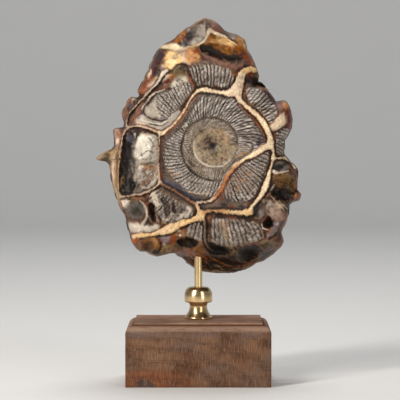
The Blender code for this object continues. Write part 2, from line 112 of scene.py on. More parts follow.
# A node tree with one way to add a node: its type, its settings, then what goes into its sockets
class Web:
    def __init__(self, tree):
        self.tree = tree
        tree.nodes.clear()

    def find(self, sockets, key):
        if isinstance(key, int):
            return sockets[key]
        return next(socket for socket in sockets if key in (socket.identifier, socket.name))

    def node(self, kind, settings=None, sockets=None, out=0):
        made = self.tree.nodes.new(kind)
        for key, value in (settings or {}).items():
            setattr(made, key, value)
        for key, value in (sockets or {}).items():
            self.feed(self.find(made.inputs, key), value)
        return Wire(self, self.find(made.outputs, out)) if made.outputs else made

    def feed(self, socket, value):
        if isinstance(value, Wire):
            self.tree.links.new(value.socket, socket)
        else:
            socket.default_value = value

    def blend(self, share, first, second, mode="MIX"):
        return self.node("ShaderNodeMix", {"data_type": "RGBA", "blend_type": mode},
                         {"Factor_Float": share, "A_Color": first, "B_Color": second}, "Result_Color")

    def noise(self, place, scale, detail=3.0, roughness=0.5):
        return self.node("ShaderNodeTexNoise", {},
                         {"Vector": place, "Scale": scale, "Detail": detail, "Roughness": roughness}, "Fac")

    def between(self, value, low, high):
        return self.node("ShaderNodeMapRange", {"interpolation_type": "SMOOTHSTEP"},
                         {"Value": value, "From Min": low, "From Max": high}, "Result")

    def attribute(self, name, out="Fac"):
        return self.node("ShaderNodeAttribute", {"attribute_name": name}, {}, out)

    def apart(self, vector):
        first = self.node("ShaderNodeSeparateXYZ", {}, {"Vector": vector}, "X")
        return [Wire(self, socket) for socket in first.socket.node.outputs]

    # Coats over a colour, the later over the earlier: each a share and a colour
    def coats(self, shade, layers):
        for share, tint in layers:
            shade = self.blend(share, shade, tint)
        return shade


# A material: fixed values go straight on the shader's sockets, and varying ones come as wires
class Finish(Web):
    def __init__(self, name):
        self.material = bpy.data.materials.new(name)
        self.material.use_nodes = True
        super().__init__(self.material.node_tree)
        self.place = self.node("ShaderNodeTexCoord", {}, {}, "Object")

    # Noise at a scale of its own along each axis
    def grain(self, scale, detail=4.0, roughness=0.65):
        drawn = self.node("ShaderNodeMapping", {}, {"Vector": self.place, "Scale": scale}, "Vector")
        return self.noise(drawn, 1.0, detail, roughness)

    def shade(self, fixed, varying):
        shader = self.node("ShaderNodeBsdfPrincipled", {}, {**fixed, **varying}, "BSDF")
        self.node("ShaderNodeOutputMaterial", {}, {"Surface": shader})
        self.material.diffuse_color = (0.4, 0.35, 0.3, 1.0)
        return self.material

    def bump(self, height, distance, strength=1.0, under=None):
        sockets = {"Height": height, "Distance": distance, "Strength": strength}
        if under is not None:
            sockets["Normal"] = under
        return self.node("ShaderNodeBump", {}, sockets, "Normal")


# A plain mesh object from places in millimetres
def makePiece(name, places, faces, material=None, smooth=True):
    mesh = bpy.data.meshes.new(name)
    mesh.from_pydata((np.asarray(places) * mm).tolist(), [], faces)
    mesh.update()
    if smooth:
        mesh.shade_smooth()
    piece = bpy.data.objects.new(name, mesh)
    bpy.context.scene.collection.objects.link(piece)
    if material is not None:
        mesh.materials.append(material)
    return piece


def addLayer(mesh, name, values):
    layer = mesh.attributes.new(name, "FLOAT", "POINT")
    layer.data.foreach_set("value", values.astype(np.float32))


# Places of a turned shape: its half section carried round the upright axis
def spun(section, sides):
    turns = np.arange(sides) * 2 * math.pi / sides
    return np.vstack([np.column_stack([radius * np.cos(turns), radius * np.sin(turns),
                                       np.full(sides, height)]) for radius, height in section])


# Faces between rings of places, each ring joined to the next, and the last to the first if closed
def bridged(rings, sides, closed=False):
    faces = []
    for ring in range(rings if closed else rings - 1):
        nextRing = (ring + 1) % rings
        for step in range(sides):
            after = (step + 1) % sides
            faces.append((ring * sides + step, ring * sides + after,
                          nextRing * sides + after, nextRing * sides + step))
    return faces


# Angles of a quarter turn in even steps, after the first
def quarter(steps):
    return [math.radians(90 * step / steps) for step in range(1, steps + 1)]


# Runs an object through a Geometry Nodes tree and keeps the result as a plain mesh
def settle(piece, group, values):
    modifier = piece.modifiers.new("shape", "NODES")
    modifier.node_group = group
    for item in group.interface.items_tree:
        if item.in_out == "INPUT" and item.name in values:
            modifier[item.identifier] = values[item.name]
    bpy.context.view_layer.update()
    evaluated = piece.evaluated_get(bpy.context.evaluated_depsgraph_get())
    mesh = bpy.data.meshes.new_from_object(evaluated)
    old = piece.data
    piece.modifiers.remove(modifier)
    piece.data = mesh
    bpy.data.meshes.remove(old)
    return piece


def newGroup(name, inputs):
    group = bpy.data.node_groups.new(name, "GeometryNodeTree")
    group.interface.new_socket(name="Geometry", in_out="INPUT", socket_type="NodeSocketGeometry")
    group.interface.new_socket(name="Geometry", in_out="OUTPUT", socket_type="NodeSocketGeometry")
    for label, (kind, value) in inputs.items():
        socket = group.interface.new_socket(name=label, in_out="INPUT", socket_type="NodeSocket" + kind)
        socket.default_value = value
    return group


# Smooth step from 0 to 1
def rise(low, high, value):
    share = np.clip((value - low) / (high - low), 0.0, 1.0)
    return share * share * (3.0 - 2.0 * share)


# Soft random field over flat places, from -1 to 1, with features of about one size
def ripple(places, size, seed):
    count = 256
    lattice = np.random.default_rng(seed).uniform(-1, 1, (count, count))
    spot = places / size + 64.37
    corner = np.floor(spot).astype(int)
    share = spot - corner
    share = share * share * (3 - 2 * share)
    column, row = corner[:, 0] % count, corner[:, 1] % count
    nextColumn, nextRow = (column + 1) % count, (row + 1) % count
    low = lattice[column, row] * (1 - share[:, 0]) + lattice[nextColumn, row] * share[:, 0]
    high = lattice[column, nextRow] * (1 - share[:, 0]) + lattice[nextColumn, nextRow] * share[:, 0]
    return low * (1 - share[:, 1]) + high * share[:, 1]


def layered(places, size, seed, layers=3):
    total = np.zeros(len(places))
    for layer in range(layers):
        total += ripple(places, size / 2 ** layer, seed + layer) / 2 ** layer
    return total / 1.6


def smoothPath(points, spacing):
    points = np.array(points, dtype=float)
    ends = np.vstack([2 * points[0] - points[1], points, 2 * points[-1] - points[-2]])
    path = []
    for before, start, end, after in zip(ends, ends[1:], ends[2:], ends[3:]):
        steps = max(1, round(float(np.linalg.norm(end - start)) / spacing))
        for step in range(steps):
            t = step / steps
            path.append(0.5 * (2 * start + (end - before) * t
                               + (2 * before - 5 * start + 4 * end - after) * t * t
                               + (3 * start - before - 3 * end + after) * t ** 3))
    path.append(points[-1])
    return np.array(path)


# Camera as in the photograph: just above the middle of the stone, looking slightly down
cameraView = {"x": 1.3, "distance": 1500.0, "height": 195.7,     # in millimetres
              "pitchDown": 1.92, "lens": 168.75, "sensor": 36.0}


def makeCamera():
    data = bpy.data.cameras.new("camera")
    data.lens = cameraView["lens"]
    data.sensor_width = cameraView["sensor"]
    item = bpy.data.objects.new("camera", data)
    item.location = (cameraView["x"] * mm, -cameraView["distance"] * mm, cameraView["height"] * mm)
    item.rotation_euler = (math.radians(90 - cameraView["pitchDown"]), 0, 0)
    bpy.context.scene.collection.objects.link(item)
    bpy.context.scene.camera = item


makeCamera()
print("camera set")


# The stone. Places on its faces are u to the right and v up from the middle of the shell's coil, in
# millimetres. Everything on them is drawn one by one, and the fine relief is added by rule.
stone = {
    "crownFront": 25.0, "crownBack": 27.0, "edgeRounding": 22.0,
    "tipLeft": 94.0, "tipTop": 102.5,          # from the coil's middle to the CAD box's left and top
    "veinProud": 0.8, "moatDepth": 1.3, "moatWidth": 1.9, "plainGloss": 0.25,
    "coilSwell": 1.5, "coilSwellRadius": 33.0, "coilSwellWidth": 8.0,
    "pitDepth": 2.6, "pitRadius": 5.0,
    "seamRadius": 14.7, "seamDegree": 167.0, "whorlGrowth": 1.64, "seamDepth": 0.8, "seamWidth": 0.9,
    "whorlBulge": 0.9,
    "heelTop": -76.0, "heelBottom": -96.0, "heelShift": 14.0, "heelThinning": 0.45,
    "heelMiddle": 5.0, "heelHalfWidth": 38.0, "heelFade": 16.0,
    "thorn": (-92, -10), "thornReach": 14.0, "thornThickness": 0.3,
    "rockStart": 36.0, "rockFull": 52.0,       # from the coil to the rock round it
    "darkStart": 72.0, "darkFull": 86.0,       # painted shade, darker towards the bottom below the coil
    "threadStart": 60.0, "threadFull": 75.0,   # pale threads below the coil
    "edgeRun": 75.0,                           # mean radius, for patterns that run round the edge
    "edgeRounded": 9.0, "edgeGloss": 0.35,
    "ribWander": 1.15, "ribJitter": 0.95, "ribLuck": 0.42,
    "blotchSize": 230.0, "dustSize": 620.0, "speckSize": 1500.0, "fineSize": 1900.0, "roughness": 0.62,
    "circleRadius": 44.0,                      # rings of the mesh are round inside this radius
    "frontCore": [(0.5, 2.0, 3), (2.6, 5.2, 5), (5.8, 12.2, 11), (12.8, 25.0, 20), (25.6, 44.0, 29)],
    "backCore": [(0.8, 2.4, 2), (3.4, 6.6, 3), (7.8, 12.6, 5), (13.8, 24.6, 10), (25.6, 44.0, 19)],
    "spokes": 640, "frontRings": 64, "backRings": 54, "rimCrowding": 1.35,
}

# Patches of the outer rock (colour, size and strength) and of the broken edge (colour and size)
rockBrowns = [("hazel", 22.0, 0.8), ("plum", 17.0, 0.8), ("tan", 14.0, 0.7), ("umber", 10.0, 0.8),
              ("rosewood", 9.0, 0.6)]
wallBrowns = [("rosewood", 14.0), ("rust", 11.0), ("bone", 13.0), ("umber", 9.0), ("sand", 8.0),
              ("plum", 10.0), ("umber", 5.0), ("bone", 3.2), ("groove", 2.6)]

outline = [
    (-7, 102.5), (-3, 101.5), (3.5, 98.5), (9.5, 92), (14, 90), (19, 89), (25.5, 84.5), (28, 76.5), (33, 68),
    (36.5, 59.5), (38, 55), (37.5, 51.5), (35.5, 49.5), (43, 46.5), (46, 43), (50.5, 35.5), (53.5, 35.5),
    (56.5, 36.5), (59.5, 35.5), (62, 32.5), (63.5, 28.5), (64.5, 23.5), (64.5, 17), (63, 11.5), (58.5, 3.5),
    (57.5, -5), (58.5, -8), (62.5, -13), (68.5, -18.5), (68, -28), (68, -36), (71.5, -38.5), (71.5, -41),
    (70, -44.5), (65, -46.5), (62.5, -48.5), (61, -59), (56.5, -67.5), (55.5, -70.5), (58, -77.5),
    (56.5, -81.5), (53.5, -84.5), (46, -91), (35.5, -96), (31, -99), (22, -103), (17, -104), (9, -104),
    (-2, -103.5), (-7, -103), (-15, -100), (-21, -96), (-24.5, -92), (-28.5, -90.5), (-31, -88),
    (-37.5, -88.5), (-41, -89.5), (-45, -89.5), (-50, -88), (-53.5, -85.5), (-58, -85.5), (-61.5, -83),
    (-65, -78.5), (-67.5, -70.5), (-69.5, -59.5), (-71, -55.5), (-74, -51.5), (-76.5, -46), (-79.5, -36.5),
    (-81, -31), (-82.5, -20.5), (-84, -16), (-86, -13), (-90.5, -13), (-94, -11), (-85.5, -4.5),
    (-81.5, -3.5), (-79.5, -0.5), (-79, 4), (-79.5, 12.5), (-77, 14.2), (-73, 14), (-71.5, 15), (-71.5, 19),
    (-73.5, 25.5), (-70.5, 32), (-66, 39.5), (-63, 39), (-61, 38.5), (-59, 40), (-61, 43.5), (-55.5, 52.5),
    (-51.5, 60.5), (-48.5, 68), (-43.5, 77), (-41.5, 79), (-34, 83.5), (-30.5, 86), (-24.5, 92),
    (-21.5, 94.5), (-18, 95.5), (-10, 101),
]

# Veins: colour, margins on the left and right of the route (colour and width), and the route with
# the vein's width at each point
frontVeins = [
    ("cream", [("rust", 0.9)], [("rust", 2.2), ("umber", 1.5), ("seal", 1.8)], [(-40, 9, 2.6),
     (-34, 13.5, 1.6), (-29, 18.6, 1.4), (-25, 23.5, 1.2), (-21.5, 29, 1.1), (-19, 34, 1.1), (-15.5, 39, 1.3),
     (-12, 42.8, 2.0)]),
    ("cream", [("rust", 0.6), ("umber", 1.5)], [("rust", 0.6), ("slate", 2.0), ("taupe", 1.4)],
     [(-12, 42.8, 2.2), (-8, 43.6, 3.2), (-3, 43, 3.6), (2, 42.2, 3.4), (7, 41.4, 3.2), (12, 41, 4.5)]),
    ("blush", [], [("amber", 0.6)], [(13, 40.5, 5), (17.5, 43, 8.5), (20.5, 48, 9.6), (22.5, 54, 8),
     (24, 57, 6)]),
    ("honey", [], [("amber", 0.6)], [(23.5, 56, 6), (26, 58.5, 6), (31, 60, 4.6), (35.5, 60, 4)]),
    ("blush", [], [], [(21, 34, 3), (20.5, 39, 6), (20, 44, 7)]),
    ("cream", [("rust", 0.6)], [("amber", 0.6), ("umber", 1.4), ("rust", 1.1), ("umber", 1.0)],
     [(21.5, 35.5, 2.6), (24.5, 32.5, 3.0), (29, 28.5, 3.5), (34, 24.5, 4.4), (38.5, 19.5, 4.5),
     (42.3, 13.5, 4.6), (44.7, 8, 4.8), (45.5, 2, 6.2)]),
    ("cream", [("amber", 0.5), ("umber", 1.2)], [("amber", 0.5), ("chalk", 0.9), ("plum", 0.6)],
     [(44.5, 0, 4.8), (38.5, -3.2, 4.6), (32.5, -7.2, 3.8), (26, -10.6, 2.6), (21, -13.4, 2.5),
     (18, -16, 2.6)]),
    ("orange", [("rust", 0.8), ("umber", 1.0)], [("rust", 0.5), ("chalk", 1.0), ("seal", 0.7)],
     [(20, -14.5, 2.4), (16, -18.5, 3.0), (12, -23.5, 3.0), (9, -29, 2.8), (6.5, -34.5, 2.9), (3.5, -39, 2.6),
     (0, -42.3, 2.2)]),
    ("blush", [("plum", 0.9)], [("slate", 1.0)], [(1.5, -41.5, 1.6), (-1, -43, 1.8), (-6, -44.5, 1.3),
     (-12, -44.8, 1.2)]),
    ("cream", [("rust", 0.5), ("umber", 0.8)], [("rust", 0.6), ("umber", 1.6), ("seal", 1.0)], [(45.5, 0, 6),
     (47.5, -4, 3), (48, -9, 3.0), (46.5, -15, 2.0), (45, -20, 2.2), (44, -24, 3.8), (42.5, -30, 4.6),
     (40, -36, 4.2), (37, -41, 3.4), (33, -46, 2.6), (30.5, -50, 2.8)]),
    ("honey", [("umber", 1.3)], [("rust", 0.5), ("plum", 0.7)], [(30, -52.3, 5.8), (25, -53, 5.4),
     (18, -53, 4.2), (10, -52.3, 3)]),
    ("caramel", [("umber", 1.2)], [("plum", 0.6)], [(12, -52.4, 3), (8, -52.2, 2.8), (3, -51.7, 2.2),
     (-3, -51.8, 2.2), (-8, -53.5, 4.8), (-10, -56, 6.6)]),
    ("honey", [], [], [(-12, -47, 1.5), (-11, -51, 3.4), (-9, -55, 6.4)]),
    ("chalk", [("amber", 0.6), ("rust", 1.4), ("umber", 2.0), ("seal", 0.8)], [], [(-41.8, 8, 1.2),
     (-42.4, 0, 1.0), (-42.6, -10, 1.0), (-42.4, -20, 1.0), (-41.9, -28, 1.0)]),
    ("rust", [("slateBlue", 4.4)], [("taupe", 4.0)], [(-41, -30, 1.8), (-36, -32.5, 1.6), (-31, -35, 1.4),
     (-26, -38.5, 1.4), (-20, -42.5, 1.4), (-14, -46, 1.6), (-11.5, -49, 1.2)]),
    ("shellPink", [("umber", 1.0), ("plum", 0.8)], [("amber", 0.5), ("pearl", 0.8)], [(-40.5, 9.5, 3),
     (-45, 11, 2), (-50, 13, 2.2), (-56, 14.8, 1.9), (-60, 15.2, 1.5), (-65, 14.3, 1.3), (-68.5, 14, 2.2)]),
    ("chalk", [("dustyPink", 0.8)], [("umber", 1.2)], [(-68.5, 14, 2), (-69, 18, 1.1), (-67.5, 22.5, 1),
     (-64.5, 27, 0.9), (-60, 32, 1.1), (-55, 37.5, 1.4), (-49.5, 43, 1.6), (-44.5, 48, 2.2), (-41.5, 53, 3.8),
     (-39, 57, 4.6), (-36, 58.5, 3.6)]),
    ("bone", [("umber", 1.4)], [("rust", 0.5)], [(-69, 13.5, 2.0), (-71, 8, 2.0), (-72.5, 0, 2.0),
     (-73.5, -10, 2.0), (-74.5, -20, 1.8), (-75, -30, 1.7), (-74.5, -38, 2.0), (-73, -41, 2.6)]),
    ("shellPink", [("umber", 0.8)], [], [(-41.5, -29.5, 1.8), (-45, -33, 1.5), (-50, -36, 1.7),
     (-56, -38.5, 1.5), (-62, -39, 1.3), (-69, -40.5, 1.5), (-73, -41, 2.2)]),
    ("honey", [("umber", 0.8)], [("rust", 0.5)], [(-10, -56.5, 6), (-18, -59.5, 4.4), (-25, -62, 6.4),
     (-32, -65, 7.6), (-38, -67.5, 5.8), (-45, -69.8, 3.6), (-52, -70.8, 3), (-58, -71.3, 3.4),
     (-63, -73, 4.6)]),
    ("seal", [("umber", 1.0)], [("umber", 1.0)], [(-6.5, -59, 2.4), (-6, -66, 2.4), (-6, -74, 2.4),
     (-4, -80, 2.2), (0, -84, 1.8)]),
    ("cream", [("umber", 0.6)], [("oxblood", 1.3)], [(48.5, -10, 2.6), (53, -10.3, 1.5), (57, -9.8, 2.4),
     (61, -12, 2.6), (64.5, -15.5, 2.8), (66.5, -18, 2.6)]),
]

# Cells of ribs: ribs in a full turn, height, slant, and the cell's corners
frontRibs = [
    (128, 1.9, 0.0, [(-19, 60), (-11, 62.5), (-3, 63), (5, 61.5), (14, 58), (16.5, 50), (13, 44), (4, 46.5),
     (-5, 48), (-12, 47.5)]),
    (118, 1.4, 0.1, [(-45, 38.5), (-40, 41), (-35, 42), (-29, 48), (-23, 50), (-18, 48), (-16, 44), (-21, 38),
     (-25, 32), (-30, 26), (-34, 22.5), (-40, 22), (-43, 28)]),
    (120, 1.7, 0.0, [(27, 36), (27, 44), (33, 46.5), (40, 43), (46, 37), (50, 31), (51, 25), (46, 18.5),
     (41, 22), (36, 28)]),
    (128, 1.9, 0.5, [(49.5, 11), (59, 14), (61, 7), (58.5, 0), (57.5, -7), (51, -7), (50, 0)]),
    (92, 1.8, 0.1, [(44, -5), (36, -9.5), (26, -14), (20, -18), (14, -27), (10, -36), (9.5, -42), (16, -43.5),
     (26, -44), (34, -38.5), (38, -31), (42, -23), (44, -13)]),
    (132, 1.9, 0.0, [(0, -58), (14, -58.5), (30, -59.5), (35, -62), (41, -70), (38, -74), (30, -77),
     (20, -80), (12, -79), (0, -76.5)]),
    (126, 1.8, 0.0, [(-18, -62), (-10, -60.5), (-8, -66), (-8.5, -75), (-13, -75), (-20, -72), (-20, -66)]),
    (104, 1.5, 0.1, [(-43, -34.5), (-36, -38), (-28, -43), (-18, -48.5), (-16, -54), (-19, -58), (-28, -60.5),
     (-37, -62), (-42, -55), (-46, -47), (-51, -44), (-49, -38)]),
]

# Ribs of the whorls from the outermost inwards: ribs in a full turn, height, slant and outer end
ringRibs = [(78, 1.7, 0.6, 40.5), (92, 0.8, -0.2, 60.0)]

# Hollows and lumps: u, v, half length, half width, turn, height
frontForms = [
    (-15.5, 86, 11, 9, 38, -5.0), (8, 72.5, 19, 6.5, -16, -6.0), (12, 79, 12, 6, -22, -2.5),
    (-32, 67, 8, 7, 40, -2.0), (32.2, 52, 5, 4.6, 0, -4.5), (54, -16.5, 7, 4.6, 0, -4.5),
    (56, -34.5, 11, 12, 20, -11.0), (36, -50, 6, 7.5, 0, -3.5), (48, -56, 7, 9, -10, -2.5),
    (44.5, -61.5, 3.6, 4.6, 0, -6.0), (-66.5, -14, 8, 26, 0, -9.0), (-50, -24, 8, 9, 0, -2.0),
    (-62, -52, 9.5, 9, 0, -5.5), (-47.5, -53, 3.4, 8.5, 12, -6.5), (-19, -77, 8.5, 4.4, -8, -8.5),
    (3.5, -82.3, 9.5, 5.6, -20, -9.0), (29, -86, 10, 7, 20, -8.5), (-51, -79, 7.5, 5, 10, -3.0),
    (-46, 29, 11, 9, 35, 1.5), (-64, 30, 3.5, 8, -35, -3.0), (61, 20, 3, 8, 0, 2.0),
]

